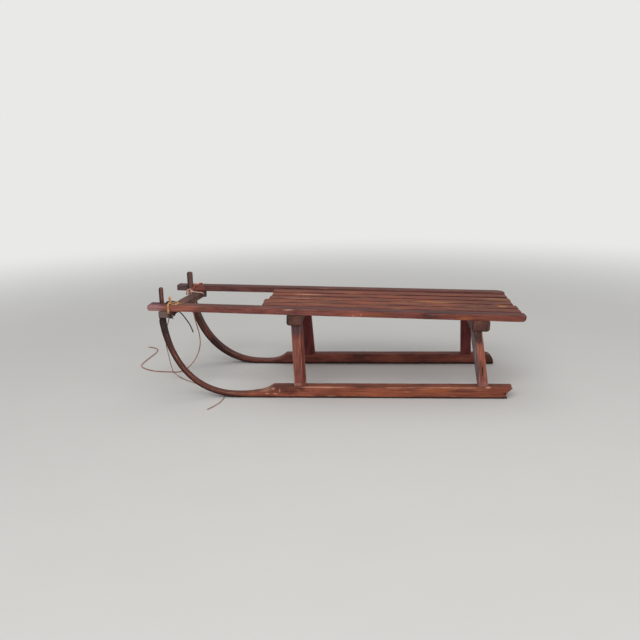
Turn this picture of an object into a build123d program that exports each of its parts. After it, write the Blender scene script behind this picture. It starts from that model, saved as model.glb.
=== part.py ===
"""Slatted wooden bench sled on two bent runners, as separate named pieces, in mm.

Frame: +Z up, floor at z = 0, origin at the bottom centre of the sled.
-X is the front with the bent tips, -Y is the left side, +Y is the right side.
Lengths along the sled are first measured from the front tip of the seat and
then moved by half the seat length, so that the origin ends up in the middle.
"""
import math
import os
from build123d import *

# Seat: two outer rails and the slats between them, falling to the rear, more so on the left
SEAT_LENGTH = 1000.0
SEAT_FRONT_Z = {"left": 242.5, "right": 239.2}
SEAT_DROP = {"left": 34.8, "right": 28.9}
RAIL_SPREAD = 332.4
RAIL_WIDTH = 34.5
RAIL_THICK = 17.1
RAIL_CORNERS = {"left": (3.0, 3.0, 11.0, 4.0), "right": (7.0, 2.0, 27.0, 4.0)}
RAIL_NOSE = {"left": (8.0, 5.0), "right": (1.5, 3.0)}
SLAT_WIDTH = 37.4
SLAT_THICK = 16.2
SLAT_SHIFT = (-0.21, -0.58, -0.94, -1.11, -1.12)
SLAT_FRONT = (303.0, 300.5, 309.5, 312.0, 308.0)
SLAT_SHORT = (5.3, 4.0, 9.0, 5.7, 6.0)
SLAT_CORNER = 3.0
EDGE = 1.4

# Beams across the sled, placed from the front tip of the seat
BEAM_LENGTH = 336.0
BEAM_THICK = 27.6
BEAM_ROUND = 8.5
BEAM_EASE = 2.0
FRONT_BEAM_AT = 374.7
FRONT_BEAM_WIDTH = 39.3
REAR_BEAM_AT = 863.0
REAR_BEAM_WIDTH = 43.0

# Front cross bar under the rails: how far it stands out on the left and stops short on the right
BAR_AT = 31.5
BAR_WIDTH = 28.5
BAR_THICK = 17.5
BAR_PROUD = 1.8
BAR_SHY = 10.2
BAR_SLIP = 27.0

# Posts: head behind the beam's front, head width, foot further back, foot width
POSTS = {("front", "left"): (10.8, 27.0, 5.3, 28.6), ("front", "right"): (9.0, 27.0, 9.0, 30.5),
         ("rear", "left"): (0.0, 23.5, 23.0, 23.5), ("rear", "right"): (10.0, 30.0, 4.5, 30.0)}
POST_DEPTH = 26.0
POST_SPLAY = 4.7
CHEEK = 15.5
# bevel on the edge towards the middle of the sled: size at the head and at the foot
POST_BEVEL = {("front", "left"): (3.0, 4.6), ("front", "right"): (2.0, 2.0),
              ("rear", "left"): (9.5, 0.6), ("rear", "right"): (4.0, 4.5)}
TENON = 14.0
TENON_DEEP = 16.0

# Runners: foot, bend and horn, the bend being the outside of the steel strip
RUNNER_SPREAD = 344.0
RUNNER_WIDTH = 33.5
RUNNER_TOP = 32.0
RUNNER_END = 975.0
RUNNER_ROUND = (27.0, 23.0)
RUNNER_BREAK = ((-23.0, 0.0), (-25.0, 9.5), (-19.0, 12.5), (-14.5, 19.0), (-6.6, 25.5))
BREAK_TOP = 10.5
BEND_HEIGHT = 262.0
BEND_START = {"left": 259.4, "right": 239.0}
BEND_FRONT = {"left": 30.7, "right": 28.5}
BEND_FULL = {"left": 2.36, "right": 2.08}
BEND_LEAN = {"left": -3.6, "right": 3.0}
BEND_WOOD = {"left": (11.4, 9.0, 7.0), "right": (8.6, 16.4, 15.5)}
BEND_WIDTH = {"left": 20.0, "right": 27.0}
BEND_STEPS = 10
SCOOP_END = 333.0
SCOOP_DIP = ((23.0, 20.5), (53.0, 15.2))
HORN_BELOW = 33.0
HORN_RISE = {"left": 41.4, "right": 40.5}
HORN_DEPTH = 13.0
HORN_INSET = 0.3
HORN_ROUND = 2.2
FIT = 0.3

# Steel strips under the runners
STRIP_THICK = 2.0
STRIP_INSET = 3.5
STRIP_SHORT = {"left": 18.0, "right": 2.0}
STRIP_BELOW_BAR = 5.0

# Cords and lashings
LASH_RADIUS = 1.6
LASH_BEND = 3.0
KNOT_RADIUS = {"left": 4.5, "right": 5.8}
KNOT_FLAT = 0.28
CORD_RADIUS = 1.6
THIN_RADIUS = 1.2
LACE_RADIUS = 1.6
CORD_SIDES = 8

HALF = SEAT_LENGTH / 2
RAIL_OUT = RAIL_SPREAD / 2
RAIL_IN = RAIL_OUT - RAIL_WIDTH
RAIL_MID = RAIL_OUT - RAIL_WIDTH / 2
BAR_ENDS = (-RAIL_OUT - BAR_PROUD, RAIL_OUT - BAR_SHY)
RUNNER_OUT = RUNNER_SPREAD / 2
POST_FOOT_Y = RUNNER_OUT - RUNNER_WIDTH / 2
POST_HEAD_Y = POST_FOOT_Y - POST_SPLAY
HORN_INNER = RAIL_IN + HORN_INSET
HORN_OUTER = HORN_INNER + HORN_DEPTH
REACH = RUNNER_SPREAD
FAR_UP = BEND_HEIGHT + REACH
SIDES = {"left": -1, "right": 1}
OUT = "parts"
os.makedirs(OUT, exist_ok=True)


def between(pair, y):
    """Value at y of a size that changes evenly from the left rail to the right one."""
    return pair["left"] + (pair["right"] - pair["left"]) * (y / RAIL_MID + 1) / 2


def underside(x, y=0.0):
    """Height of the seat underside at distance x from the front tip and y from the middle."""
    return between(SEAT_FRONT_Z, y) - between(SEAT_DROP, y) * x / SEAT_LENGTH


def board_frame(y):
    """Frame of a seat board at y: x from the front tip along it, z from its underside."""
    tilt = math.degrees(math.atan(between(SEAT_DROP, y) / SEAT_LENGTH))
    return Pos(-HALF, 0, between(SEAT_FRONT_Z, y) + FIT) * Rot(0, tilt, 0)


def under_frame(x):
    """Frame of a stick across the sled under the seat at x: z from its top, x as before."""
    tilt = math.degrees(math.atan(between(SEAT_DROP, 0) / SEAT_LENGTH))
    roll = math.degrees(math.atan((underside(x, RAIL_MID) - underside(x, -RAIL_MID)) / (2 * RAIL_MID)))
    return Pos(x - HALF, 0, underside(x)) * Rot(0, tilt, 0) * Rot(roll, 0, 0) * Pos(-x, 0, 0)


def block(x0, x1, y0, y1, z0, z1):
    """Box between two corners."""
    return Pos((x0 + x1) / 2, (y0 + y1) / 2, (z0 + z1) / 2) * Box(x1 - x0, abs(y1 - y0), z1 - z0)


def side_prism(points, y0, y1):
    """Side view outline pushed from y0 to y1; x counts from the front tip."""
    face = make_face(Polyline(*[(x - HALF, 0, z) for x, z in points], close=True))
    return Pos(0, min(y0, y1), 0) * extrude(face, abs(y1 - y0), dir=(0, 1, 0))


def cross_prism(points, x0, x1):
    """Front view outline (y, z) pushed from x0 to x1 counted from the front tip."""
    face = make_face(Polyline(*[(0, y, z) for y, z in points], close=True))
    return Pos(x0 - HALF, 0, 0) * extrude(face, x1 - x0, dir=(1, 0, 0))


def plan_prism(points, z0, z1):
    """Plan outline pushed from z0 to z1; x counts from the front tip."""
    face = make_face(Polyline(*[(x - HALF, y, z0) for x, y in points], close=True))
    return extrude(face, z1 - z0, dir=(0, 0, 1))


# Bent front of a runner
def bend_at(side, t):
    """Point on the outside of the bend for t from 0 on the floor to 1 where it is plumb."""
    start, front, power = BEND_START[side], BEND_FRONT[side], 2 / BEND_FULL[side]
    angle = t * math.pi / 2
    x = start - (start - front) * max(0.0, math.sin(angle)) ** power
    z = BEND_HEIGHT * (1 - max(0.0, math.cos(angle)) ** power)
    return x + BEND_LEAN[side] * (z / BEND_HEIGHT) ** 2, z


def wood_thick(side, t):
    """Thickness of the wood along the bend, from its start over the middle to the top."""
    start, middle, top = BEND_WOOD[side]
    return start + (4 * middle - 3 * start - top) * t + 2 * (start - 2 * middle + top) * t * t


def bend_line(side, depth):
    """Points of the bend moved inwards; depth is a number or a function of t."""
    line = []
    for i in range(BEND_STEPS):
        t = i / (BEND_STEPS - 1)
        x, z = bend_at(side, t)
        ax, az = bend_at(side, max(0.0, t - 0.02))
        bx, bz = bend_at(side, min(1.0, t + 0.02))
        dx, dz = (-1.0, 0.0) if i == 0 else (0.0, 1.0) if i == BEND_STEPS - 1 else (bx - ax, bz - az)
        size = math.hypot(dx, dz)
        deep = depth(t) if callable(depth) else depth
        line.append(Vector(x + dz / size * deep - HALF, 0, z - dx / size * deep))
    return line


def bend_edge(side, depth):
    """Smooth edge through the bend, from the floor up to where it is plumb."""
    return Spline(*bend_line(side, depth), tangents=[(-1, 0, 0), (0, 0, 1)])


def wood_span(side, level):
    """Front and back of the bent wood at a height, counted from the front tip."""
    low, high = 0.5, 1.0
    for _ in range(30):
        t = (low + high) / 2
        low, high = (t, high) if bend_at(side, t)[1] < level else (low, t)
    front = bend_at(side, low)[0] + STRIP_THICK
    return front, front + wood_thick(side, low)


def rear_end(side, z0):
    """Outline of the runner's rear end, broken off on the left and rounded on the right."""
    if side == "left":
        broken = [(RUNNER_END + x, z0 + z) for x, z in RUNNER_BREAK]
        return broken + [(RUNNER_END - BREAK_TOP, RUNNER_TOP)]
    long, high = RUNNER_ROUND
    angles = [math.radians(d) for d in (90, 72, 54, 36, 18, 0)]
    return [(RUNNER_END, z0)] + [(RUNNER_END - long + long * math.sin(a), RUNNER_TOP - high + high * math.cos(a))
                                 for a in angles]


def runner_profile(side):
    """Side view of one runner: foot, scoop, bend and horn."""
    outer = bend_edge(side, STRIP_THICK)
    inner = bend_line(side, lambda t: STRIP_THICK + wood_thick(side, t))
    dips = [Vector(SCOOP_END - x - HALF, 0, z) for x, z in SCOOP_DIP]
    scoop = [Vector(SCOOP_END - HALF, 0, RUNNER_TOP)] + dips
    end = [Vector(x - HALF, 0, z) for x, z in rear_end(side, STRIP_THICK)]
    up_out, up_in = Vector((outer @ 1).X, 0, FAR_UP), Vector(inner[-1].X, 0, FAR_UP)
    edges = [Line(end[0], outer @ 0), outer, Line(outer @ 1, up_out), Line(up_out, up_in),
             Line(up_in, inner[-1]), Spline(*(inner[::-1] + scoop[::-1])),
             Line(scoop[0], end[-1]), Polyline(*end)]
    return make_face(edges)


def bend_room(side, inset):
    """Room that a runner may fill: the bend narrows and leans inwards as it rises."""
    s = SIDES[side]
    low, high = RUNNER_TOP * 0.6, BEND_HEIGHT - HORN_BELOW
    inner = RUNNER_OUT - BEND_WIDTH[side]
    lean = (inner - HORN_INNER) / (high - low)
    top = RUNNER_OUT - lean * (high - low)
    limits = [(RUNNER_OUT - inset, -5), (RUNNER_OUT - inset, low), (top - inset, high),
              (top - inset, FAR_UP), (HORN_INNER + inset, FAR_UP), (HORN_INNER + inset, high),
              (inner + inset, low), (inner + inset, -5)]
    body = cross_prism([(s * y, z) for y, z in limits], -20, SCOOP_END)
    wedge = [(SCOOP_END, RUNNER_OUT - RUNNER_WIDTH + inset), (SCOOP_END, RUNNER_OUT - 5),
             (SCOOP_END - 133, RUNNER_OUT - 5), (SCOOP_END - 133, inner + inset)]
    body = body + plan_prism([(x, s * y) for x, y in wedge], -5, RUNNER_TOP + 3)
    return body + block(SCOOP_END - HALF, RUNNER_END + 5 - HALF, s * (RUNNER_OUT - RUNNER_WIDTH + inset),
                        s * (RUNNER_OUT - inset), -5, RUNNER_TOP + 30)


def runner(side):
    """Bent wooden runner with a thin front that ends in a horn above the seat."""
    s = SIDES[side]
    body = Pos(0, -REACH, 0) * extrude(runner_profile(side), 2 * REACH, dir=(0, 1, 0))
    body = body & bend_room(side, 0.0)
    board = board_frame(s * RAIL_MID)
    rest = bar_frame() * Pos(0, 0, -BAR_THICK) if side == "left" else board * Pos(0, 0, -FIT)
    body = body - rest * block(-REACH, SCOOP_END, s * HORN_OUTER, s * REACH, 0, FAR_UP)
    body = body - board * block(-REACH, SCOOP_END, 0, s * REACH, RAIL_THICK + HORN_RISE[side], FAR_UP)
    rim = body.faces().sort_by(Axis.Z)[-1].edges()
    body = fillet(rim, HORN_ROUND)
    for where in ("front", "rear"):
        body = body - tenon_box(where, side, "foot")
    return body


def strip(side):
    """Steel strip under the runner and up the outside of the bend."""
    s = SIDES[side]
    outer, inner = bend_edge(side, 0.0), bend_edge(side, STRIP_THICK)
    tail = RUNNER_END - STRIP_SHORT[side] - HALF
    edges = [Line((tail, 0, 0), outer @ 0), outer, Line(outer @ 1, inner @ 1), inner,
             Line(inner @ 0, (tail, 0, STRIP_THICK)), Line((tail, 0, STRIP_THICK), (tail, 0, 0))]
    body = Pos(0, -REACH, 0) * extrude(make_face(edges), 2 * REACH, dir=(0, 1, 0))
    body = body & bend_room(side, STRIP_INSET)
    return body - bar_frame() * block(-REACH, SCOOP_END, -REACH, REACH, -BAR_THICK - STRIP_BELOW_BAR, FAR_UP)


# Posts between the runners and the beams
def beam_span(where):
    """Front edge and width of a beam, the front edge counted from the front tip."""
    return (FRONT_BEAM_AT, FRONT_BEAM_WIDTH) if where == "front" else (REAR_BEAM_AT, REAR_BEAM_WIDTH)


def beam_frame(where):
    """Frame of a beam, its top face at z = 0."""
    at, width = beam_span(where)
    return under_frame(at + width / 2)


def post_spans(where, side):
    """Front and rear of one post at the beam's underside and low down, from the front tip."""
    set_back, head, further, foot = POSTS[where, side]
    at = beam_span(where)[0] + set_back
    return (at, at + head), (at + further, at + further + foot)


def post_levels(where, side):
    """Heights of one post: low in the runner, at the beam's underside and high in the seat."""
    at, width = beam_span(where)
    y = SIDES[side] * POST_HEAD_Y
    return RUNNER_TOP - TENON_DEEP, underside(at + width / 2, y) - BEAM_THICK, underside(at, y) + RAIL_THICK


def post_outline(where, side):
    """Side view of a post; the left rear one has a cheek that stands in front of its beam."""
    (head, head_end), (foot, foot_end) = post_spans(where, side)
    low, under, high = post_levels(where, side)
    outline = [(head_end, high), (head_end, under), (foot_end, low), (foot, low)]
    if (where, side) != ("rear", "left"):
        return [(head, high)] + outline + [(head, under)]
    return [(head - CHEEK, high)] + outline + [
        (head - 0.06 * CHEEK, under - BEAM_THICK), (head - 0.2 * CHEEK, under + FIT),
        (head - 0.7 * CHEEK, under + 0.65 * BEAM_THICK)]


def post_y(z):
    """Distance of a leaning post's middle from the middle of the sled at a height."""
    rise = underside(FRONT_BEAM_AT) - BEAM_THICK - RUNNER_TOP
    return POST_FOOT_Y - POST_SPLAY * (z - RUNNER_TOP) / rise


def bevel(where, side):
    """Block that bevels a post's edge towards the middle of the sled, wider at one end."""
    head, foot = post_spans(where, side)
    under = post_levels(where, side)[1]
    s, out = SIDES[side], 1 if side == "left" else -1
    edge, back = (1, -1) if where == "front" else (0, 1)
    size, foot_size = POST_BEVEL[where, side]
    top = Vector(head[edge] - HALF, s * (post_y(under) + out * POST_DEPTH / 2), under)
    base = Vector(foot[edge] - HALF, s * (post_y(RUNNER_TOP) + out * POST_DEPTH / 2), RUNNER_TOP)
    a, b = top + Vector(back * size, 0, 0), top - Vector(0, s * out * size, 0)
    c = base + Vector(back * foot_size, 0, 0)
    normal = (b - a).cross(c - a)
    if normal.dot(top - a) < 0:
        normal = -normal
    return Plane(origin=a, x_dir=c - a, z_dir=normal) * Pos(0, 0, REACH / 2) * Box(2 * REACH, 2 * REACH, REACH)


def tenon_box(where, side, end):
    """Tenon at the foot or the head of a post, also used as its mortise."""
    s = SIDES[side]
    head, foot = post_spans(where, side)
    if end == "foot":
        mid, y = sum(foot) / 2 - HALF, s * POST_FOOT_Y
        low, high = RUNNER_TOP - TENON_DEEP, RUNNER_TOP + 6
    else:
        mid, y = sum(head) / 2 - HALF, s * POST_HEAD_Y
        seat = underside(mid + HALF, y) - BEAM_THICK
        low, high = seat - 6, seat + TENON_DEEP
    return block(mid - TENON / 2, mid + TENON / 2, y - TENON / 2, y + TENON / 2, low, high)


def post(where, side):
    """Leaning post with one bevelled edge that looks at the middle of the sled."""
    s = SIDES[side]
    at, width = beam_span(where)
    beam = beam_frame(where)
    body = side_prism(post_outline(where, side), -POST_DEPTH / 2, POST_DEPTH / 2)
    rise = underside(FRONT_BEAM_AT) - BEAM_THICK - RUNNER_TOP
    lean = math.degrees(math.atan(POST_SPLAY / rise))
    body = Pos(0, s * POST_FOOT_Y, RUNNER_TOP) * Rot(s * lean, 0, 0) * Pos(0, 0, -RUNNER_TOP) * body
    body = body - bevel(where, side)
    body = body & beam * block(at - width, at + 2 * width, -REACH, REACH, -REACH, 0)
    body = body & block(-HALF, HALF, -REACH, REACH, RUNNER_TOP, FAR_UP)
    body = body - beam * block(at, at + 2 * width, -REACH, REACH, -BEAM_THICK, BEAM_THICK)
    return body + tenon_box(where, side, "foot") + tenon_box(where, side, "head")


# Beams and the front cross bar
def crossbeam(where):
    """Beam under the seat, with its far lower edge rounded and the others eased."""
    at, width = beam_span(where)
    body = block(at, at + width, -BEAM_LENGTH / 2, BEAM_LENGTH / 2, -BEAM_THICK, 0)
    low = [e for e in body.edges().filter_by(Axis.Y) if e.center().Z < -BEAM_THICK / 2]
    low = sorted(low, key=lambda e: e.center().X)
    body = fillet(low[0] if where == "front" else low[-1], BEAM_ROUND)
    top = sorted([e for e in body.edges().filter_by(Axis.Y) if e.center().Z > -0.1], key=lambda e: e.center().X)
    body = beam_frame(where) * chamfer(top[0] if where == "front" else top[-1], BEAM_EASE)
    for side in SIDES:
        body = body - tenon_box(where, side, "head")
    return body


def bar_front(y):
    """Front edge of the cross bar at y, counted from the front tip."""
    return BAR_AT + BAR_SLIP * (y - BAR_ENDS[0]) / (BAR_ENDS[1] - BAR_ENDS[0])


def bar_frame():
    """Frame of the cross bar, its top face at z = 0."""
    return under_frame(bar_front(0) + BAR_WIDTH / 2)


def cross_bar():
    """Plain stick under the front of the rails, notched for the left horn."""
    first, last = BAR_ENDS
    outline = [(bar_front(first), first), (bar_front(first) + BAR_WIDTH, first),
               (bar_front(last) + BAR_WIDTH, last), (bar_front(last), last)]
    face = make_face(Polyline(*[(x, y, -BAR_THICK) for x, y in outline], close=True))
    return bar_frame() * extrude(face, BAR_THICK, dir=(0, 0, 1)) - horn_notch("left", -BAR_THICK, HORN_INNER - FIT)


def horn_notch(side, drop, inner):
    """Room for the horn, a little larger than the horn is at this drop from the seat."""
    s = SIDES[side]
    level = underside(BAR_AT, s * RAIL_MID)
    front, back = wood_span(side, level + drop)
    return block(wood_span(side, FAR_UP)[0] - FIT - HALF, back + FIT - HALF, s * inner,
                 s * (HORN_OUTER + FIT), level - 2 * BAR_THICK, level + 2 * RAIL_THICK)


# Seat pieces
def board(spans, corners, ends, thick):
    """Flat board: rounded in plan and at its ends in side view, with eased long edges."""
    x0, x1, y0, y1 = spans
    body = block(x0, x1, y0, y1, 0, thick)
    for (x, y), size in zip(((x0, y1), (x0, y0), (x1, y1), (x1, y0)), corners):
        corner = [e for e in body.edges().filter_by(Axis.Z)
                  if abs(e.center().X - x) < 0.1 and abs(e.center().Y - y) < 0.1]
        body = fillet(corner, size)
    side = block(x0, x1, -REACH, REACH, 0, thick)
    for x, size in zip((x0, x1), ends):
        side = fillet([e for e in side.edges().filter_by(Axis.Y) if abs(e.center().X - x) < 0.1], size)
    section = block(x0 - REACH, x1 + REACH, y0, y1, 0, thick)
    return body & side & chamfer(section.edges().filter_by(Axis.X), EDGE)


def rail(side):
    """Outer rail with rounded ends, notched on its inner edge for the horn."""
    s = SIDES[side]
    body = board((0, SEAT_LENGTH, RAIL_IN, RAIL_OUT), RAIL_CORNERS[side], RAIL_NOSE[side], RAIL_THICK)
    if s < 0:
        body = mirror(body, about=Plane.XZ)
    return board_frame(s * RAIL_MID) * body - horn_notch(side, 0.0, RAIL_IN - RAIL_WIDTH)


def slat_start(index):
    """Left edge of a slat: evenly spaced between the rails, then shifted by a share of the gap."""
    gap = (2 * RAIL_IN - len(SLAT_SHIFT) * SLAT_WIDTH) / (len(SLAT_SHIFT) + 1)
    return -RAIL_IN + gap * (1 + SLAT_SHIFT[index]) + index * (SLAT_WIDTH + gap)


def slat(index):
    """One slat between the rails, counted from the left."""
    y0 = slat_start(index)
    end = SEAT_LENGTH - SLAT_SHORT[index]
    body = board((SLAT_FRONT[index], end, y0, y0 + SLAT_WIDTH), [SLAT_CORNER] * 4, (EDGE, EDGE), SLAT_THICK)
    return board_frame(y0 + SLAT_WIDTH / 2) * body


# Lashings and cords
def tube(points, radius, corners=None):
    """Round cord along hand-placed points with a rounded corner at each."""
    if corners is None:
        corners = []
        for a, b, c in zip(points, points[1:], points[2:]):
            u, v = Vector(*b) - Vector(*a), Vector(*c) - Vector(*b)
            turn = math.radians(u.get_angle(v))
            corners.append(0.45 * min(u.length, v.length) / math.tan(turn / 2))
    path = FilletPolyline(*points, radius=corners)
    start = Plane(origin=path @ 0, z_dir=path % 0)
    return sweep(start * RegularPolygon(radius, CORD_SIDES), path=path), path, corners


def report_cord(name, body, path, corners, radius):
    """Print corner radii and compare the tube's volume with section times length."""
    want = CORD_SIDES / 2 * math.sin(2 * math.pi / CORD_SIDES) * radius ** 2 * path.length
    print(name, "length %.0f" % path.length, "radii", [round(c, 1) for c in corners],
          "volume %.3f of plain" % (body.volume / want))


def knot_at(side):
    """Middle of a lashing's knot in the seat's own frame."""
    size = KNOT_RADIUS[side]
    if side == "left":
        return bar_front(BAR_ENDS[0]) + BAR_WIDTH - 1.8, -RAIL_MID, RAIL_THICK + 3 * FIT + size
    return wood_span(side, FAR_UP)[1] - 5.5, RAIL_IN - FIT - size, -1.0


def lash_route(side):
    """Way of a lashing in the seat's own frame: over the rail, under and behind the bar."""
    gap = LASH_RADIUS + 3 * FIT
    over, under = RAIL_THICK + gap, -BAR_THICK - gap
    inside = RAIL_IN - gap
    x, y, z = knot_at(side)
    if side == "left":
        tip = BAR_ENDS[0] - gap
        back = bar_front(-inside) + BAR_WIDTH + gap + 0.4
        return [(x - 1.2, y - 1.7, z - 0.3), (x - 1.2, tip, over), (x - 3.2, tip, under),
                (back, -inside, under), (back, -inside, over), (x + 1.2, y + 1.7, z - 0.3)]
    tip = BAR_ENDS[1]
    front, back = bar_front(inside) - gap - 0.5, bar_front(inside) + BAR_WIDTH + gap + 0.4
    return [(x + 2.0, y + 0.5, z + 2.8), (front - 1, inside, over), (front + 3, RAIL_OUT + gap, over),
            (front + 10, RAIL_OUT + gap, -3), (front + 17, tip + gap + 1, under), (back, inside - 1.5, under),
            (back, inside - 2.5, gap), (front, inside - 3.5, gap), (x + 2.5, y - 0.5, z - 1.5)]


def lashing(side):
    """Cord wound round the rail and the bar, with a knot where its ends meet."""
    points = lash_route(side)
    body, path, corners = tube(points, LASH_RADIUS, [LASH_BEND] * (len(points) - 2))
    report_cord("lashing_" + side, body, path, corners, LASH_RADIUS)
    size = 2 * KNOT_RADIUS[side]
    knot = chamfer(Box(size, size, size).edges(), KNOT_FLAT * size)
    return bar_frame() * (body + Pos(*knot_at(side)) * knot)


CORDS = {
    # out of the bar's underside, in a hanging loop to the floor and out past the front
    "pull_cord_long": (CORD_RADIUS, [
        (bar_front(120) + 6.0, 120.0, underside(60, 120) - 11.0),
        (bar_front(120) + 4.4, 120.0, underside(60, 120) - 34.0),
        (50.0, 116.0, 178.0), (58.5, 108.0, 144.0), (71.0, 101.0, 104.0),
        (71.0, 97.0, 68.0), (57.6, 93.0, 33.0), (36.0, 86.0, 6.5), (19.6, 47.0, 1.7),
        (-20.4, 50.0, 1.7), (-64.5, 55.0, 1.7), (-103.0, 79.0, 1.7), (-127.0, 108.0, 1.7),
        (-130.0, 142.0, 1.7), (-127.0, 195.0, 1.7), (-122.0, 250.0, 1.7), (-126.0, 292.0, 1.7),
        (-142.0, 318.0, 1.7), (-170.0, 326.5, 1.7)]),
    # out of the bar's underside, down to the floor and out below the left bend
    "pull_cord_short": (THIN_RADIUS, [
        (bar_front(-124) + 12.8, -124.0, underside(48, -124) - 11.0),
        (bar_front(-124) + 11.0, -124.5, underside(48, -124) - 33.0),
        (33.0, -120.0, 180.0), (27.0, -110.0, 135.0), (26.0, -90.0, 100.0),
        (20.0, -55.0, 58.0), (12.0, -10.0, 20.0), (16.0, 14.0, 3.5), (39.0, -11.6, 1.4),
        (77.0, -46.0, 1.4), (114.0, -76.0, 1.4), (152.0, -104.0, 1.4), (182.0, -131.0, 1.4),
        (196.0, -160.0, 1.4), (198.0, -193.0, 1.4), (189.0, -231.0, 1.4), (172.0, -263.0, 1.4)]),
    # stiff loose end that pokes out behind the bar
    "lace_end": (LACE_RADIUS, [
        (bar_front(-97) + BAR_WIDTH - 6.7, -96.5, underside(60, -97) - 7.5),
        (bar_front(-97) + BAR_WIDTH + 7.0, -97.6, underside(74, -97) - 18.0),
        (87.0, -98.6, 202.0), (98.0, -98.0, 184.0), (103.5, -97.5, 165.0)]),
}


def cord(name, bar):
    """One loose cord as a tube, cut flush where it leaves the cross bar."""
    radius, points = CORDS[name]
    body, path, corners = tube([(x - HALF, y, z) for x, y, z in points], radius)
    report_cord(name, body, path, corners, radius)
    return (body - bar).solids().sort_by(SortBy.VOLUME)[-1]


# All the pieces by name
PIECES = {}
for side_name in SIDES:
    PIECES["runner_" + side_name] = runner(side_name)
    PIECES["strip_" + side_name] = strip(side_name)
    PIECES["rail_" + side_name] = rail(side_name)
    PIECES["lashing_" + side_name] = lashing(side_name)
    for place in ("front", "rear"):
        PIECES["post_" + place + "_" + side_name] = post(place, side_name)
for place in ("front", "rear"):
    PIECES["crossbeam_" + place] = crossbeam(place)
PIECES["cross_bar"] = cross_bar()
for number in range(len(SLAT_SHIFT)):
    PIECES["slat_%d" % (number + 1)] = slat(number)
for cord_name in CORDS:
    PIECES[cord_name] = cord(cord_name, PIECES["cross_bar"])

for piece_name, shape in PIECES.items():
    if isinstance(shape, (list, ShapeList)):
        shape = Compound(children=list(shape))
    export_step(shape, OUT + "/" + piece_name + ".step")
    box = shape.bounding_box()
    print("%-18s solids %d volume %.0f box %s %s" % (
        piece_name, len(shape.solids()), shape.volume,
        [round(v, 1) for v in box.min], [round(v, 1) for v in box.max]))
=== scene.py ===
"""Worn slatted wooden bench sled on two bent runners, with its lashings and pull cords.

Lengths in the classes are millimetres, as on a workshop drawing. They count from
the front tip of the seat (x), from the middle of the sled (y, negative on the left)
and from the floor (z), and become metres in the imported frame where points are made.
Pairs of sizes stand in the order left and right, or front and rear.
"""
import logging
import math
from collections.abc import Callable, Iterable, Sequence
from dataclasses import dataclass, field, replace
from enum import Enum
from typing import Any

import bpy
from mathutils import Matrix, Vector, noise


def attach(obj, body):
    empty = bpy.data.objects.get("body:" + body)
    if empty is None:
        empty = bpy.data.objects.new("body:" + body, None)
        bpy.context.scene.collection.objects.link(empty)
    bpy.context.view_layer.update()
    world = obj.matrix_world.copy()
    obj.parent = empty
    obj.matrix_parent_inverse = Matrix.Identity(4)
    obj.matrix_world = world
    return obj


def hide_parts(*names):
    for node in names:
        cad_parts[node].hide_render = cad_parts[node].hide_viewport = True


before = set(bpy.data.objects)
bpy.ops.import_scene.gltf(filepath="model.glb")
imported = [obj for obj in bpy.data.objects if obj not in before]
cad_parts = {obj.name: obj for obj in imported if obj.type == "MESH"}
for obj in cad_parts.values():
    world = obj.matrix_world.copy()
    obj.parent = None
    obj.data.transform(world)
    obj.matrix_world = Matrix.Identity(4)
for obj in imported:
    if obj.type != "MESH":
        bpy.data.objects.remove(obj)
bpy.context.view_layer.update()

LOG = logging.getLogger("bench_sled")
BODY = "root"
MM = 0.001
ACROSS = Vector((0.0, 1.0, 0.0))
UPRIGHT = Vector((0.0, 0.0, 1.0))
BACKWARD = Vector((1.0, 0.0, 0.0))

# sizes that several sub-assemblies share, mm: the rails' underside at the front tip
# and its fall to the rear, where the horns pass the bar, and the play between pieces
SEAT_LENGTH = 1000.0
SEAT_FRONT_Z = (242.5, 239.2)
SEAT_DROP = (34.8, 28.9)
RAIL_MID = 148.95
RAIL_THICK = 17.1
SLAT_THICK = 16.2
RUNNER_TOP = 32.0
BAND_THICK = 2.0
HORN_X = 35.0
FIT = 0.3

Pair = tuple[float, float]
Triple = tuple[float, float, float]
Range = tuple[float, float, float, float]
Node = bpy.types.Node
Tree = bpy.types.NodeTree
Socket = tuple[Node, int | str]


class Side(Enum):
    """Side of the sled, with the sign of its y."""

    LEFT = -1
    RIGHT = 1

    @property
    def word(self) -> str:
        """Name of the side as the pieces use it."""
        return self.name.lower()

    @property
    def index(self) -> int:
        """Place of the side in a pair of sizes."""
        return int(self is Side.RIGHT)

    def span(self, inner: float, outer: float) -> Pair:
        """Range of y between two distances from the sled's middle."""
        return (-outer, -inner) if self is Side.LEFT else (inner, outer)


class Place(Enum):
    """Front or rear one of a pair of beams or posts."""

    FRONT = "front"
    REAR = "rear"

    @property
    def index(self) -> int:
        """Place of it in a pair of sizes."""
        return int(self is Place.REAR)


class End(Enum):
    """How the end of a stick looks."""

    SAWN = "sawn"
    BROKEN = "broken"


def clamp(value: float) -> float:
    """Value held between 0 and 1."""
    return min(1.0, max(0.0, value))


def ease(value: float) -> float:
    """Value held between 0 and 1, with a soft start and stop."""
    return clamp(value) ** 2 * (3 - 2 * clamp(value))


def steps(start: float, stop: float, size: float) -> list[float]:
    """Even steps from start to stop, both kept."""
    count = max(1, round(abs(stop - start) / size))
    return [start + (stop - start) * i / count for i in range(count + 1)]


def along_line(line: Sequence[Pair], level: float) -> float:
    """Value at a level of a line that runs straight from point to point.

    Args:
        line: Points (value, level) with rising levels.
        level: Level to look up.

    Returns:
        The value, which stays the last one above the line.
    """
    for (v0, z0), (v1, z1) in zip(line, line[1:]):
        if level <= z1:
            return v0 + (v1 - v0) * (level - z0) / (z1 - z0)
    return line[-1][0]


def spot(x: float, y: float, z: float) -> Vector:
    """Point of the sled in metres.

    Args:
        x: Distance from the front tip of the seat, mm.
        y: Distance from the middle, mm.
        z: Height above the floor, mm.

    Returns:
        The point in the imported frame.
    """
    return Vector(((x - SEAT_LENGTH / 2) * MM, y * MM, z * MM))


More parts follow.
